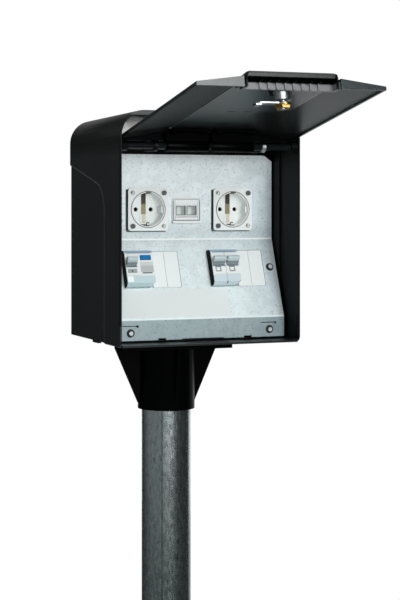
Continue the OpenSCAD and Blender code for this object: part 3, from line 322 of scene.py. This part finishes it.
facet_place, given, made = shade_group(
    "facet_place", {"Mid X": 0.0, "Mid Y": 0.0, "Mid Z": 0.0, "Lean": 0.0, "Roll": 0.0, "Turn": 0.0},
    {key: "NodeSocketFloat" for key in ("Across", "Up", "Out", "Below")})
tree = facet_place
spot = add(tree, "ShaderNodeTexCoord", (-1100, -300))
in_mm = add(tree, "ShaderNodeVectorMath", (-900, -300), operation="SCALE")
in_mm.inputs["Scale"].default_value = MM
middle = add(tree, "ShaderNodeCombineXYZ", (-900, 0))
from_middle = add(tree, "ShaderNodeVectorMath", (-700, -150), operation="SUBTRACT")
angles = add(tree, "ShaderNodeCombineXYZ", (-700, -350))
upright = add(tree, "ShaderNodeVectorRotate", (-500, -150), rotation_type="EULER_XYZ", invert=True)
parts = add(tree, "ShaderNodeSeparateXYZ", (-300, -150))
looks = add(tree, "ShaderNodeSeparateXYZ", (-300, -450))
tree.links.new(spot.outputs["Object"], in_mm.inputs[0])
for axis, angle in zip("XYZ", ("Lean", "Roll", "Turn")):
    tree.links.new(given.outputs["Mid " + axis], middle.inputs[axis])
    tree.links.new(given.outputs[angle], angles.inputs[axis])
tree.links.new(in_mm.outputs[0], from_middle.inputs[0])
tree.links.new(middle.outputs[0], from_middle.inputs[1])
tree.links.new(from_middle.outputs[0], upright.inputs["Vector"])
tree.links.new(angles.outputs[0], upright.inputs["Rotation"])
tree.links.new(upright.outputs[0], parts.inputs[0])
tree.links.new(spot.outputs["Normal"], looks.inputs[0])
tree.links.new(parts.outputs["X"], made.inputs["Across"])
tree.links.new(parts.outputs["Z"], made.inputs["Up"])
tree.links.new(worked(tree, "MULTIPLY", parts.outputs["Y"], -1.0), made.inputs["Out"])
tree.links.new(worked(tree, "LESS_THAN", looks.outputs["Z"], UPWARD), made.inputs["Below"])

patch_mask, given, made = shade_group(
    "patch_mask",
    {"Across": 0.0, "Up": 0.0, "Out": 0.0, "Half Across": 1.0, "Half Up": 1.0, "Low": -99.0, "High": 99.0,
     "Line": 1.0, "Soft": 0.1},
    {key: "NodeSocketFloat" for key in ("Inside", "Outline", "Ring")})
tree, put = patch_mask, given.outputs
past_side = worked(tree, "SUBTRACT", worked(tree, "ABSOLUTE", put["Across"]), put["Half Across"])
past_end = worked(tree, "SUBTRACT", worked(tree, "ABSOLUTE", put["Up"]), put["Half Up"])
past_edge = worked(tree, "MAXIMUM", past_side, past_end)
half_line = worked(tree, "MULTIPLY", put["Line"], 0.5)
off_line = worked(tree, "SUBTRACT", worked(tree, "ABSOLUTE", past_edge), half_line)
squares = worked(tree, "ADD", worked(tree, "POWER", put["Across"], 2.0),
                 worked(tree, "POWER", put["Up"], 2.0))
past_ring = worked(tree, "SUBTRACT", worked(tree, "SQRT", squares), put["Half Across"])
off_ring = worked(tree, "SUBTRACT", worked(tree, "ABSOLUTE", past_ring), half_line)
too_deep = worked(tree, "SUBTRACT", put["Low"], put["Out"])
too_far = worked(tree, "SUBTRACT", put["Out"], put["High"])
at_depth = within(tree, worked(tree, "MAXIMUM", too_deep, too_far), put["Soft"])
for name, distance in (("Inside", past_edge), ("Outline", off_line), ("Ring", off_ring)):
    flat = within(tree, distance, put["Soft"])
    tree.links.new(worked(tree, "MULTIPLY", flat, at_depth), made.inputs[name])


def masked(tree, form, middle, half, out, line, soft, below=False, lean=0.0, roll=0.0, turn=0.0):
    """The mask of a patch in a material's tree: its place on a facet, half its size and its reach outward.

    below leaves out the faces that look up while the piece rests.
    """
    place = add(tree, "ShaderNodeGroup", (-1200, -400), node_tree=facet_place)
    mask = add(tree, "ShaderNodeGroup", (-900, -400), node_tree=patch_mask)
    for key, value in zip(("Mid X", "Mid Y", "Mid Z", "Lean", "Roll", "Turn"),
                          (*middle, -lean, -roll, -turn)):
        place.inputs[key].default_value = value
    for key, value in zip(("Half Across", "Half Up", "Low", "High", "Line", "Soft"),
                          (*half, *out, line, soft)):
        mask.inputs[key].default_value = value
    for key in ("Across", "Up", "Out"):
        tree.links.new(place.outputs[key], mask.inputs[key])
    if below:
        return worked(tree, "MULTIPLY", mask.outputs[form], place.outputs["Below"])
    return mask.outputs[form]


def tint(material, colour, middle, half, form="Inside", line=1.0, out=ANY_DEPTH, soft=0.2, blend="MIX",
         **facing):
    """Colour a rectangle, its outline or a ring on a material, round a place on a facet, in millimetres."""
    tree = material.node_tree
    look = next(node for node in tree.nodes if node.type == "BSDF_PRINCIPLED")
    over = add(tree, "ShaderNodeMix", (-200, 200), data_type="RGBA", blend_type=blend)
    under, above = [socket for socket in over.inputs if socket.enabled and socket.name in "AB"]
    above.default_value = colour
    tree.links.new(look.inputs["Base Color"].links[0].from_socket, under)
    tree.links.new(masked(tree, form, middle, half, out, line, soft, **facing), over.inputs["Factor"])
    tree.links.new(next(socket for socket in over.outputs if socket.enabled), look.inputs["Base Color"])


SEAM_TURN, SEAM_TONE = math.radians(30.7), (0.55, 0.56, 0.56, 1)
pipe_zinc = finish("pipe_zinc", zinc_bloom,
                   {"Light": srgb(214, 226, 226), "Dark": srgb(150, 162, 162), "Flowers": 420.0,
                    "Stretch": 0.35, "Dull": 0.2, "Spread": 0.12, "Pits": 0.35}, bump=0.12, Metallic=1.0)
tint(pipe_zinc, SEAM_TONE, (-15.4, -25.9, 295), (0.9, 300.0), out=(-3.0, 3.0), soft=0.8, blend="MULTIPLY",
     turn=SEAM_TURN)
dress(pipe_zinc, "pole")


# Post adaptor: black glass-filled nylon moulded in one, a sleeve over the pipe with gussets under a flange.
# Zinc-plated set screws pinch the pipe, and bolts with nuts hold the box on the flange.
moulded_grain, given, made = shade_group(
    "moulded_grain",
    {"Tone": (0.01, 0.011, 0.012, 1.0), "Worn": (0.02, 0.022, 0.023, 1.0), "Grain": 1500.0, "Dull": 0.38,
     "Spread": 0.1}, SKIN)
tree = moulded_grain
place = add(tree, "ShaderNodeTexCoord", (-1100, -200))
flow = add(tree, "ShaderNodeTexNoise", (-700, 100), Scale=9.0, Detail=3.0)
grain = add(tree, "ShaderNodeTexNoise", (-700, -200), Detail=2.0)
colour = add(tree, "ShaderNodeMix", (100, 100), data_type="RGBA")
swing = add(tree, "ShaderNodeMath", (100, -100), operation="MULTIPLY_ADD")
tree.links.new(place.outputs["Object"], flow.inputs["Vector"])
tree.links.new(place.outputs["Object"], grain.inputs["Vector"])
tree.links.new(given.outputs["Grain"], grain.inputs["Scale"])
tree.links.new(flow.outputs[0], colour.inputs["Factor"])
tree.links.new(given.outputs["Tone"], colour.inputs["A"])
tree.links.new(given.outputs["Worn"], colour.inputs["B"])
tree.links.new(flow.outputs[0], swing.inputs[0])
tree.links.new(given.outputs["Spread"], swing.inputs[1])
tree.links.new(given.outputs["Dull"], swing.inputs[2])
tree.links.new(colour.outputs["Result"], made.inputs["Color"])
tree.links.new(swing.outputs[0], made.inputs["Roughness"])
tree.links.new(grain.outputs[0], made.inputs["Height"])

nylon_black = finish("nylon_black", moulded_grain,
                     {"Tone": srgb(1, 1, 2), "Worn": srgb(3, 4, 4), "Dull": 0.3}, bump=0.1,
                     Specular_IOR_Level=0.05)
dress(nylon_black, "post_adaptor", edge=0.0006)
plated = finish("plated", zinc_bloom,
                {"Light": srgb(196, 200, 200), "Dark": srgb(160, 166, 167), "Flowers": 900.0, "Dull": 0.25},
                bump=0.05, Metallic=0.95)
dress(plated, "set_screws", "flange_bolts", "flange_nuts")


# Rear casing and front hood: two black moulded tubs of one weatherproof plastic that lap over each other.
# The hood is screwed to the casing from above and below, and a rubber ring sits in the casing's cable hole.
# A step line runs along each side, with a painted highlight on it. Painted shade darkens the right cheek, left
# shoulder and left rim.
MOST_DULL = 0.85


def painted_shade(material, share, middle, half, out=ANY_DEPTH, soft=0.2, **facing):
    """Paint shade inside a rectangle round a place on a facet, in millimetres, leaving only a share of a
    moulding's sheen.

    Its colour deepens, it roughens, and it turns metallic by the rest, as a black metal has next to no sheen.
    """
    tint(material, (share, share, share, 1.0), middle, half, out=out, soft=soft, blend="MULTIPLY", **facing)
    tree = material.node_tree
    look = next(node for node in tree.nodes if node.type == "BSDF_PRINCIPLED")
    mask = masked(tree, "Inside", middle, half, out, 1.0, soft, **facing)
    lost = worked(tree, "MULTIPLY", mask, 1.0 - share)
    for key, most in (("Metallic", 1.0), ("Roughness", MOST_DULL)):
        socket = look.inputs[key]
        before = socket.links[0].from_socket if socket.links else socket.default_value
        tree.links.new(worked(tree, "MAXIMUM", worked(tree, "MULTIPLY", lost, most), before), socket)


HOOD_SIDE, RIM_Y, RIM_MIDDLE_Z, RIM_HALF = 111.8, -145, 727, 106.0
STEP_HIGHLIGHT, STEP_RISE = srgb(86, 88, 88), math.radians(-13)
hood_black = finish("hood_black", moulded_grain,
                    {"Tone": srgb(22, 25, 26), "Worn": srgb(29, 33, 34), "Dull": 0.32, "Spread": 0.1},
                    bump=0.16, Specular_IOR_Level=0.28)
# Painted shade on the right cheek, on the left shoulder's sheen and on the left rim.
painted_shade(hood_black, 0.25, (107, -105, 735), (7.0, 135.0), out=(-70.0, 45.0), soft=2.0)
painted_shade(hood_black, 0.35, (-92, -80, 846), (36.0, 26.0), out=(-130.0, 70.0), soft=14.0)
painted_shade(hood_black, 0.3, (-109.5, RIM_Y, RIM_MIDDLE_Z), (2.5, RIM_HALF), out=(-3.0, 1.0), soft=0.6)
# Painted highlight along the left rim's inner edge.
tint(hood_black, srgb(40, 42, 40), (-110.1, RIM_Y, RIM_MIDDLE_Z), (0.5, RIM_HALF), out=(-1.0, 1.0), soft=0.4)
# Painted highlight along each side's step line.
for side in (-HOOD_SIDE, HOOD_SIDE):
    for middle, half, form, roll in (((side, -90.6, 674), (0.6, 75.4), "Inside", 0.0),
                                     ((side, -56.0, 749.2), (34.6, 34.6), "Ring", 0.0),
                                     ((side, -12.95, 794.6), (52.2, 0.6), "Inside", STEP_RISE)):
        tint(hood_black, STEP_HIGHLIGHT, middle, half, form, 1.6, out=(-1.0, 1.0), soft=1.0, roll=roll,
             turn=math.pi / 2)
# Painted highlight along the roof's front edge.
tint(hood_black, srgb(92, 97, 97), (0, RIM_Y, 861.4), (104.0, 2.4), out=(-2.0, 1.0), soft=0.8)
dress(hood_black, "front_hood", edge=0.0009)
dress(hood_black, "rear_casing", edge=0.0005)
ring_rubber = finish("ring_rubber", moulded_grain,
                     {"Tone": srgb(20, 20, 20), "Worn": srgb(30, 30, 30), "Dull": 0.7}, bump=0.2,
                     Specular_IOR_Level=0.2)
dress(ring_rubber, "cable_grommet")
dress(plated, "hood_screws")


# Transom, hinge brackets and rod: a galvanised sheet across the mouth's top carries two dark brackets.
# Painted light lightens the sheet's left end, and a painted highlight brightens the right bracket's end. The
# rod is black-painted steel, and everything is held by plated screws.
sheet_zinc = finish("sheet_zinc", zinc_bloom,
                    {"Light": srgb(210, 221, 222), "Dark": srgb(188, 201, 203), "Flowers": 110.0, "Dull": 0.5,
                     "Spread": 0.12}, bump=0.04, Metallic=0.55)
transom_zinc = finish("transom_zinc", zinc_bloom,
                      {"Light": srgb(222, 232, 233), "Dark": srgb(202, 214, 216), "Flowers": 110.0,
                       "Dull": 0.5, "Spread": 0.12}, bump=0.04, Metallic=0.25)
# Painted light on the sheet's left end.
tint(transom_zinc, srgb(252, 252, 249), (-96, -140, 846), (24.0, 24.0), soft=8.0)
dress(transom_zinc, "transom_plate")
bracket_zinc = finish("bracket_zinc", zinc_bloom,
                      {"Light": srgb(46, 50, 52), "Dark": srgb(34, 38, 40), "Flowers": 300.0, "Dull": 0.3},
                      bump=0.04, Metallic=0.9)
# Painted highlight on the right bracket's end.
tint(bracket_zinc, srgb(236, 240, 240), (67, -137, 822), (3.0, 5.0), out=(0.0, 8.0), soft=1.0)
dress(bracket_zinc, "hinge_brackets")
rod_black = finish("rod_black", moulded_grain,
                   {"Tone": srgb(14, 17, 18), "Worn": srgb(22, 26, 28), "Dull": 0.12, "Spread": 0.06},
                   Specular_IOR_Level=0.25)
dress(rod_black, "hinge_rod")
dress(plated, "transom_screws", "bracket_screws")


# Device panel: 1.5 mm galvanised sheet bent into three facets, cut out for the sockets, the data outlet and
# the breakers, and screwed to the casing. Painted highlights run along the bends, and broad painted light and
# shade lie on it: lighter at its upper left, darker at its right, just above the bend and on the lowest facet.
# Painted shade rings each screw. A bare paper label is stuck on the slope.
FACE_Y, BEND_Z, TOE_Z, ALL_ACROSS = -77.7, 716.7, 625.2, 200.0
SLOPE = math.atan2(35.0, 91.5)
SLOPE_SCREW_X, SLOPE_SCREW_UP, TOE_SCREW_X, TOE_SCREW_Z = 97.8, -36.3, 87.4, 610.4


def on_slope(x, up):
    """A place on the slope's plane, in millimetres across the part and up the slope."""
    return x, FACE_Y + up * math.sin(SLOPE), BEND_Z + up * math.cos(SLOPE)


panel_zinc = finish("panel_zinc", zinc_bloom,
                    {"Light": srgb(234, 245, 246), "Dark": srgb(200, 213, 215), "Flowers": 110.0, "Dull": 0.5,
                     "Spread": 0.12, "Pits": 0.2}, bump=0.04, Metallic=0.55)
# Painted light and shade: darker lowest facet, lighter upper left, darker right side, darker above the bend.
for share, x, z, half, soft in (((0.5, 0.555, 0.57, 1), 0, TOE_Z - 15, (ALL_ACROSS, 14.6), 1.0),
                                ((1.19, 1.15, 1.15, 1), -30, 795, (110.0, 50.0), 50.0),
                                ((0.8, 0.825, 0.85, 1), 110, 690, (34.0, 110.0), 40.0),
                                ((0.84, 0.845, 0.85, 1), 0, BEND_Z + 8, (120.0, 8.0), 14.0)):
    tint(panel_zinc, share, (x, FACE_Y, z), half, soft=soft, blend="MULTIPLY")
# Painted highlights along the two bends.
tint(panel_zinc, srgb(240, 246, 246), (0, FACE_Y, BEND_Z), (ALL_ACROSS, 0.9), soft=0.8)
tint(panel_zinc, srgb(226, 236, 237), (0, FACE_Y, TOE_Z + 0.6), (ALL_ACROSS, 0.9), soft=0.8)
screw_zinc = finish("screw_zinc", zinc_bloom,
                    {"Light": srgb(232, 238, 238), "Dark": srgb(206, 213, 214), "Flowers": 900.0,
                     "Dull": 0.25}, bump=0.05, Metallic=0.45)
# Painted shade round each panel screw, on the sheet and round the rim of its head.
for side in (-1, 1):
    high, low = on_slope(side * SLOPE_SCREW_X, SLOPE_SCREW_UP), (side * TOE_SCREW_X, FACE_Y, TOE_SCREW_Z)
    tint(panel_zinc, srgb(50, 60, 62), high, (4.1, 4.1), "Ring", 1.4, lean=SLOPE)
    tint(panel_zinc, srgb(46, 54, 56), low, (4.1, 4.1), "Ring", 1.4)
    tint(screw_zinc, srgb(40, 48, 50), high, (3.4, 3.4), "Ring", 1.7, lean=SLOPE, soft=0.5)
    tint(screw_zinc, srgb(34, 42, 44), low, (3.4, 3.4), "Ring", 1.9, soft=0.5)
dress(panel_zinc, "device_panel")
dress(screw_zinc, "panel_screws")
paper = finish("paper", moulded_grain,
               {"Tone": srgb(224, 231, 230), "Worn": srgb(216, 224, 224), "Grain": 400.0, "Dull": 0.62},
               bump=0.06, Specular_IOR_Level=0.3)
dress(paper, "label_sheet")


# Sockets: white urea moulding with a deep round recess let into a square plate with darker sides, and painted
# shadow on the panel at each plate's left and lower edge. A bent earth strap lies on the recess's floor, with
# painted shade on its top and lower end. Painted shade marks the slots for its clips and darkens the ring
# groove.
# Dull brass sleeves take the pins.
# Two corners of the plate are screwed, and the other two have a shallow spare hole.
SOCKET_X, SOCKET_Z, SPARE_X, SPARE_Z = 54.0, 752.0, 19.4, 19.6
RECESS_FLOOR, CLIP_SLOT_SHADE = (-40.0, -5.0), srgb(60, 62, 58)
UREA_WHITE = {"Tone": srgb(238, 243, 241), "Worn": srgb(232, 238, 236), "Dull": 0.28, "Spread": 0.06}
socket_white = finish("socket_white", moulded_grain, UREA_WHITE, bump=0.03)
strap_brass = finish("strap_brass", zinc_bloom,
                     {"Light": srgb(154, 145, 120), "Dark": srgb(128, 119, 96), "Flowers": 700.0,
                      "Dull": 0.4}, bump=0.05, Metallic=0.7)
for side in (-SOCKET_X, SOCKET_X):
    # Painted shadow on the panel at each plate's left and lower edge.
    tint(panel_zinc, srgb(40, 54, 54), (side - 25.6, FACE_Y, SOCKET_Z - 0.8), (1.3, 24.2), soft=0.5)
    tint(panel_zinc, srgb(96, 112, 112), (side - 1.6, FACE_Y, SOCKET_Z - 25.4), (24.6, 1.0), soft=0.5)
    # Painted shade in the clip slots above and below the strap.
    tint(socket_white, srgb(52, 56, 52), (side + 0.6, FACE_Y, SOCKET_Z + 20.2), (3.4, 0.8))
    for tone, x, up, half in ((CLIP_SLOT_SHADE, 4.0, -17.3, (0.8, 2.0)),
                              (CLIP_SLOT_SHADE, 6.0, -15.8, (1.8, 0.6)),
                              (CLIP_SLOT_SHADE, 6.0, -19.2, (2.4, 0.6)),
                              (srgb(218, 210, 192), 0.0, -9.5, (2.4, 6.5))):
        tint(socket_white, tone, (side + x, FACE_Y, SOCKET_Z + up), half, out=RECESS_FLOOR)
    middle = (side, FACE_Y, SOCKET_Z)
    # Painted shade in the ring groove; the plate's sides are drawn darker.
    tint(socket_white, srgb(112, 120, 118), middle, (21.2, 21.2), "Ring", 1.1, out=(1.9, 3.3))
    tint(socket_white, srgb(58, 72, 72), middle, (24.6, 24.6), "Outline", 2.6, out=(-1.0, 2.9))
    # Each spare hole has a pale rim and painted shade to one side inside it.
    for corner in (-1, 1):
        x, z = side + corner * SPARE_X, SOCKET_Z - corner * SPARE_Z
        tint(socket_white, srgb(160, 168, 166), (x, FACE_Y, z), (2.3, 2.3), "Ring", 0.8, out=(3.2, 4.0))
        tint(socket_white, srgb(76, 84, 82), (x - 0.6, FACE_Y, z + 0.4), (1.2, 1.5), out=(1.0, 3.4), soft=0.5)
    # Painted shade on the strap's top and lower end.
    tint(strap_brass, srgb(66, 60, 50), (side, FACE_Y, SOCKET_Z + 13), (5.0, 6.6), soft=1.5)
    tint(strap_brass, srgb(70, 66, 58), (side, FACE_Y, SOCKET_Z - 19), (5.0, 2.0), soft=0.6)
dress(socket_white, "socket_left", "socket_right", edge=0.0005)
dress(strap_brass, "earth_straps")
sleeve_brass = finish("sleeve_brass", zinc_bloom,
                      {"Light": srgb(58, 48, 30), "Dark": srgb(40, 32, 20), "Flowers": 700.0, "Dull": 0.4},
                      bump=0.05, Metallic=1.0)
dress(sleeve_brass, "pin_contacts")
screw_dull = finish("screw_dull", zinc_bloom,
                    {"Light": srgb(104, 112, 113), "Dark": srgb(78, 86, 88), "Flowers": 900.0, "Dull": 0.42},
                    bump=0.05, Metallic=0.9)
dress(screw_dull, "socket_screws")


# Data outlet: a white frame clipped into the panel, with fine joints in its face and dark lines at its sides
# and foot. Two pale eight-way jacks stand in it, each with a dark edge.
DATA_X, DATA_Z, JACK_X, OUTLET_FACE = -5.2, 750.7, 6.9, (1.0, 3.0)
outlet_white = finish("outlet_white", moulded_grain, UREA_WHITE, bump=0.03)
for tone, up, half, line in ((176, 0.75, (17.0, 12.8), 0.8),
                             (170, 2.65, (14.6, 10.4), 0.6),
                             (140, -9.65, (14.6, 1.95), 0.6)):
    tint(outlet_white, srgb(tone, tone + 8, tone + 8), (DATA_X, FACE_Y, DATA_Z + up), half, "Outline", line,
         out=OUTLET_FACE)
for tone, x, up, half in ((96, -16.7, 0.2, (0.5, 11.6)),
                          (96, 16.7, 0.2, (0.5, 11.6)),
                          (84, 0, -11.6, (16.6, 0.5))):
    tint(outlet_white, srgb(tone, tone + 8, tone + 8), (DATA_X + x, FACE_Y, DATA_Z + up), half,
         out=OUTLET_FACE)
dress(outlet_white, "data_module", edge=0.0003)
jack_grey = finish("jack_grey", moulded_grain,
                   {"Tone": srgb(228, 234, 232), "Worn": srgb(234, 240, 238), "Dull": 0.4}, bump=0.05)
for side in (-JACK_X, JACK_X):
    tint(jack_grey, srgb(96, 104, 104), (DATA_X + side, FACE_Y, DATA_Z), (5.3, 4.8), "Outline", 1.8,
         out=(-0.5, 3.0))
dress(jack_grey, "data_jacks")


# Breakers: white moulded cases on a top-hat rail behind the slope, with painted shade on their left sides and
# lower bevels. Each has a pale blue band on its upper bevel, a pale cover over its lower terminals, and grey
# toggles with painted light on their tops. One has a grey tag, a blue test button and a painted highlight
# on the left of its cover.
CASE_LEFT, CASE_RIGHT, CASE_W, CASE_MIDDLE_UP, MODULE = -89.1, 18.9, 35.0, -37.0, 17.6
CASE_SIDE = (0.4, 24.0)
dress(sheet_zinc, "din_rail")
dress(plated, "rail_screws")
case_white = finish("case_white", moulded_grain,
                    {"Tone": srgb(228, 234, 233), "Worn": srgb(222, 229, 228), "Dull": 0.36}, bump=0.05)
# The cover, blue band and its line are the cases' own colours; the foot and left side are painted shade.
for left, cover, foot in ((CASE_LEFT, (188, 212, 216), (150, 162, 162)),
                          (CASE_RIGHT, (196, 214, 220), (40, 47, 48))):
    middle = left + CASE_W / 2
    for colour, x, up, half in ((cover, middle, -53.6, (17.6, 6.0)),
                                (foot, middle, -60.6, (17.6, 1.0)),
                                ((168, 196, 218), middle, -17.0, (17.6, 2.5)),
                                ((70, 112, 134), middle, -19.9, (15.0, 0.4)),
                                ((12, 15, 16), left, CASE_MIDDLE_UP, CASE_SIDE)):
        tint(case_white, srgb(*colour), on_slope(x, up), half, lean=SLOPE)
# Tag, window and marks, with a painted highlight on the left of the RCBO's cover.
for colour, x, up, half in (((196, 205, 200), -62.7, -33.0, (7.8, 2.2)),
                            ((176, 183, 183), -62.7, -39.2, (7.8, 4.0)),
                            ((70, 78, 78), -63.0, -44.2, (6.0, 0.7)),
                            ((150, 158, 158), -81.0, -41.6, (5.6, 2.5)),
                            ((30, 34, 34), -81.0, -41.6, (0.9, 0.9)),
                            ((240, 250, 250), -84.5, -51.5, (3.6, 3.4)),
                            ((150, 160, 162), CASE_RIGHT + MODULE, -38.0, (0.3, 20.0)),
                            ((90, 100, 102), CASE_RIGHT + MODULE, -57.0, (0.8, 1.2)),
                            ((60, 70, 72), CASE_RIGHT + 33.5, -56.6, (0.8, 1.0)),
                            ((110, 116, 118), CASE_RIGHT + MODULE - 0.8, -37.0, (0.6, 0.6))):
    tint(case_white, srgb(*colour), on_slope(x, up), half, lean=SLOPE)
for pole in (0.5, 1.5):
    tint(case_white, srgb(112, 118, 120), on_slope(CASE_RIGHT + pole * MODULE - 1, -40.6), (3.0, 2.6),
         "Outline", 1.3, lean=SLOPE)
# Painted shade deepens each case's left side.
for left in (CASE_LEFT, CASE_RIGHT):
    painted_shade(case_white, 0.2, on_slope(left, CASE_MIDDLE_UP), CASE_SIDE, lean=SLOPE)
dress(case_white, "rcbo_body", "mcb_body", edge=0.0004)
blank_white = finish("blank_white", moulded_grain,
                     {"Tone": srgb(232, 238, 238), "Worn": srgb(226, 233, 233), "Dull": 0.36}, bump=0.05)
dress(blank_white, "blank_plates", edge=0.0004)
toggle_grey = finish("toggle_grey", moulded_grain,
                     {"Tone": srgb(122, 137, 143), "Worn": srgb(130, 145, 151), "Dull": 0.34}, bump=0.05)
# Painted light on the toggles' tops.
tint(toggle_grey, srgb(190, 206, 209), on_slope(0, -27.5), (99.0, 5.0), out=(0.0, 40.0), lean=SLOPE, soft=0.6)
dress(toggle_grey, "rcbo_toggle", "mcb_toggle_left", "mcb_toggle_right", "toggle_tie", edge=0.0004)
button_blue = finish("button_blue", moulded_grain,
                     {"Tone": srgb(2, 110, 172), "Worn": srgb(6, 118, 180), "Dull": 0.3}, bump=0.04,
                     Specular_IOR_Level=0.1)
dress(button_blue, "test_button", "terminal_block", edge=0.0008)
dress(plated, "terminal_screws")


# Lid: a shallow black moulding with a flat and two wings, on two knuckles that turn on the rod. The ribbed grip
# is let into its free end, and a cam lock is nutted through it. Painted highlights mark its right crease and
# the lower part of its left crease, and painted shade darkens the rest of the left crease. Painted light and
# shade lie on its inside, its end wall and its grip. A small bright dot sits by the left crease at the hinge
# end.
LID_LEAN = math.radians(11.3)
HINGE_Y, HINGE_Z, LID_RISE, LID_END = -137.3, 824.7, 8.1, -227.7
LID_MIDDLE, CREASE_X, CREASE_UP, CORNER_TURN = -113, 54.5, 8.5, math.radians(26)


def on_lid(x, along, up):
    """A place on the open lid, in millimetres across it, along it from its hinge and out from its rim."""
    side, high = math.cos(LID_LEAN), math.sin(LID_LEAN)
    return x, HINGE_Y + along * side + (up + LID_RISE) * high, HINGE_Z - along * high + (up + LID_RISE) * side


lid_black = finish("lid_black", moulded_grain,
                   {"Tone": srgb(20, 37, 41), "Worn": srgb(26, 45, 49), "Dull": 0.26, "Spread": 0.1},
                   bump=0.12, Specular_IOR_Level=0.55)
# Painted highlights and shade on the creases, the end wall, the hinge end and the wings.
tint(lid_black, srgb(120, 122, 120), on_lid(CREASE_X, LID_MIDDLE, CREASE_UP), (0.5, 2.0), out=(-14.0, 110.0),
     lean=LID_LEAN)
tint(lid_black, srgb(98, 102, 101), on_lid(-80, LID_END, 5), (34.0, 8.0), out=(-0.5, 1.0), lean=LID_LEAN,
     soft=8.0)
painted_shade(lid_black, 0.5, on_lid(85, LID_END, 5), (30.0, 12.0), out=(-0.5, 1.0), lean=LID_LEAN, soft=2.0)
painted_shade(lid_black, 0.15, on_lid(0, -18, 4), (140.0, 40.0), out=(-45.0, 20.0), below=True, lean=LID_LEAN,
     soft=36.0)
for share, x, along, half, soft in ((0.12, 60, -44, 24.0, 36.0), (0.3, 71, -49, 12.0, 6.0)):
    painted_shade(lid_black, share, on_lid(x, along, 0), (half, 60.0), out=(-70.0, 70.0), below=True, turn=CORNER_TURN,
         soft=soft)
painted_shade(lid_black, 0.2, on_lid(-CREASE_X, LID_MIDDLE, CREASE_UP), (1.4, 2.5), out=(-105.0, 110.0), lean=LID_LEAN)
painted_shade(lid_black, 0.4, on_lid(-85, LID_MIDDLE, 4), (29.0, 40.0), out=(-120.0, 113.0), below=True, lean=LID_LEAN,
     soft=2.0)
tint(lid_black, srgb(104, 114, 115), on_lid(-53.4, -62, CREASE_UP), (0.45, 2.5), out=(-46.0, 46.0),
     below=True, lean=LID_LEAN)
tint(lid_black, srgb(190, 196, 196), on_lid(-54, -17, CREASE_UP), (1.1, 2.5), out=(-1.4, 1.4), below=True,
     lean=LID_LEAN)
dress(lid_black, "lid_shell", edge=0.0012)
dress(nylon_black, "lid_hinges", edge=0.0005)
grip_black = finish("grip_black", moulded_grain,
                    {"Tone": srgb(10, 12, 13), "Worn": srgb(15, 18, 19), "Dull": 0.26, "Spread": 0.1},
                    bump=0.1, Specular_IOR_Level=0.4)
# Painted light on the grip's lower wall and painted shade under its lip.
tint(grip_black, srgb(104, 106, 108), on_lid(0, LID_END, 3.2), (52.0, 4.2), out=(-14.0, -4.0), lean=LID_LEAN,
     soft=2.4)
painted_shade(grip_black, 0.05, on_lid(0, LID_END, 9.4), (52.0, 2.2), out=(-14.0, -0.6), lean=LID_LEAN, soft=1.6)
dress(grip_black, "lid_handle", edge=0.0008)
dress(nylon_black, "lid_hinge_screws")
dress(rod_black, "handle_screws", "lock_nut", edge=0.0005)
bright = finish("bright", zinc_bloom,
                {"Light": srgb(178, 181, 182), "Dark": srgb(148, 152, 153), "Flowers": 500.0, "Dull": 0.3,
                 "Spread": 0.08}, Metallic=1.0)
dress(bright, "lock_body", "lock_plug", "lock_cam", edge=0.0003)
brass = finish("brass", zinc_bloom,
               {"Light": srgb(196, 164, 96), "Dark": srgb(150, 118, 62), "Flowers": 700.0, "Dull": 0.28},
               bump=0.05, Metallic=1.0)
dress(brass, "cam_nut")
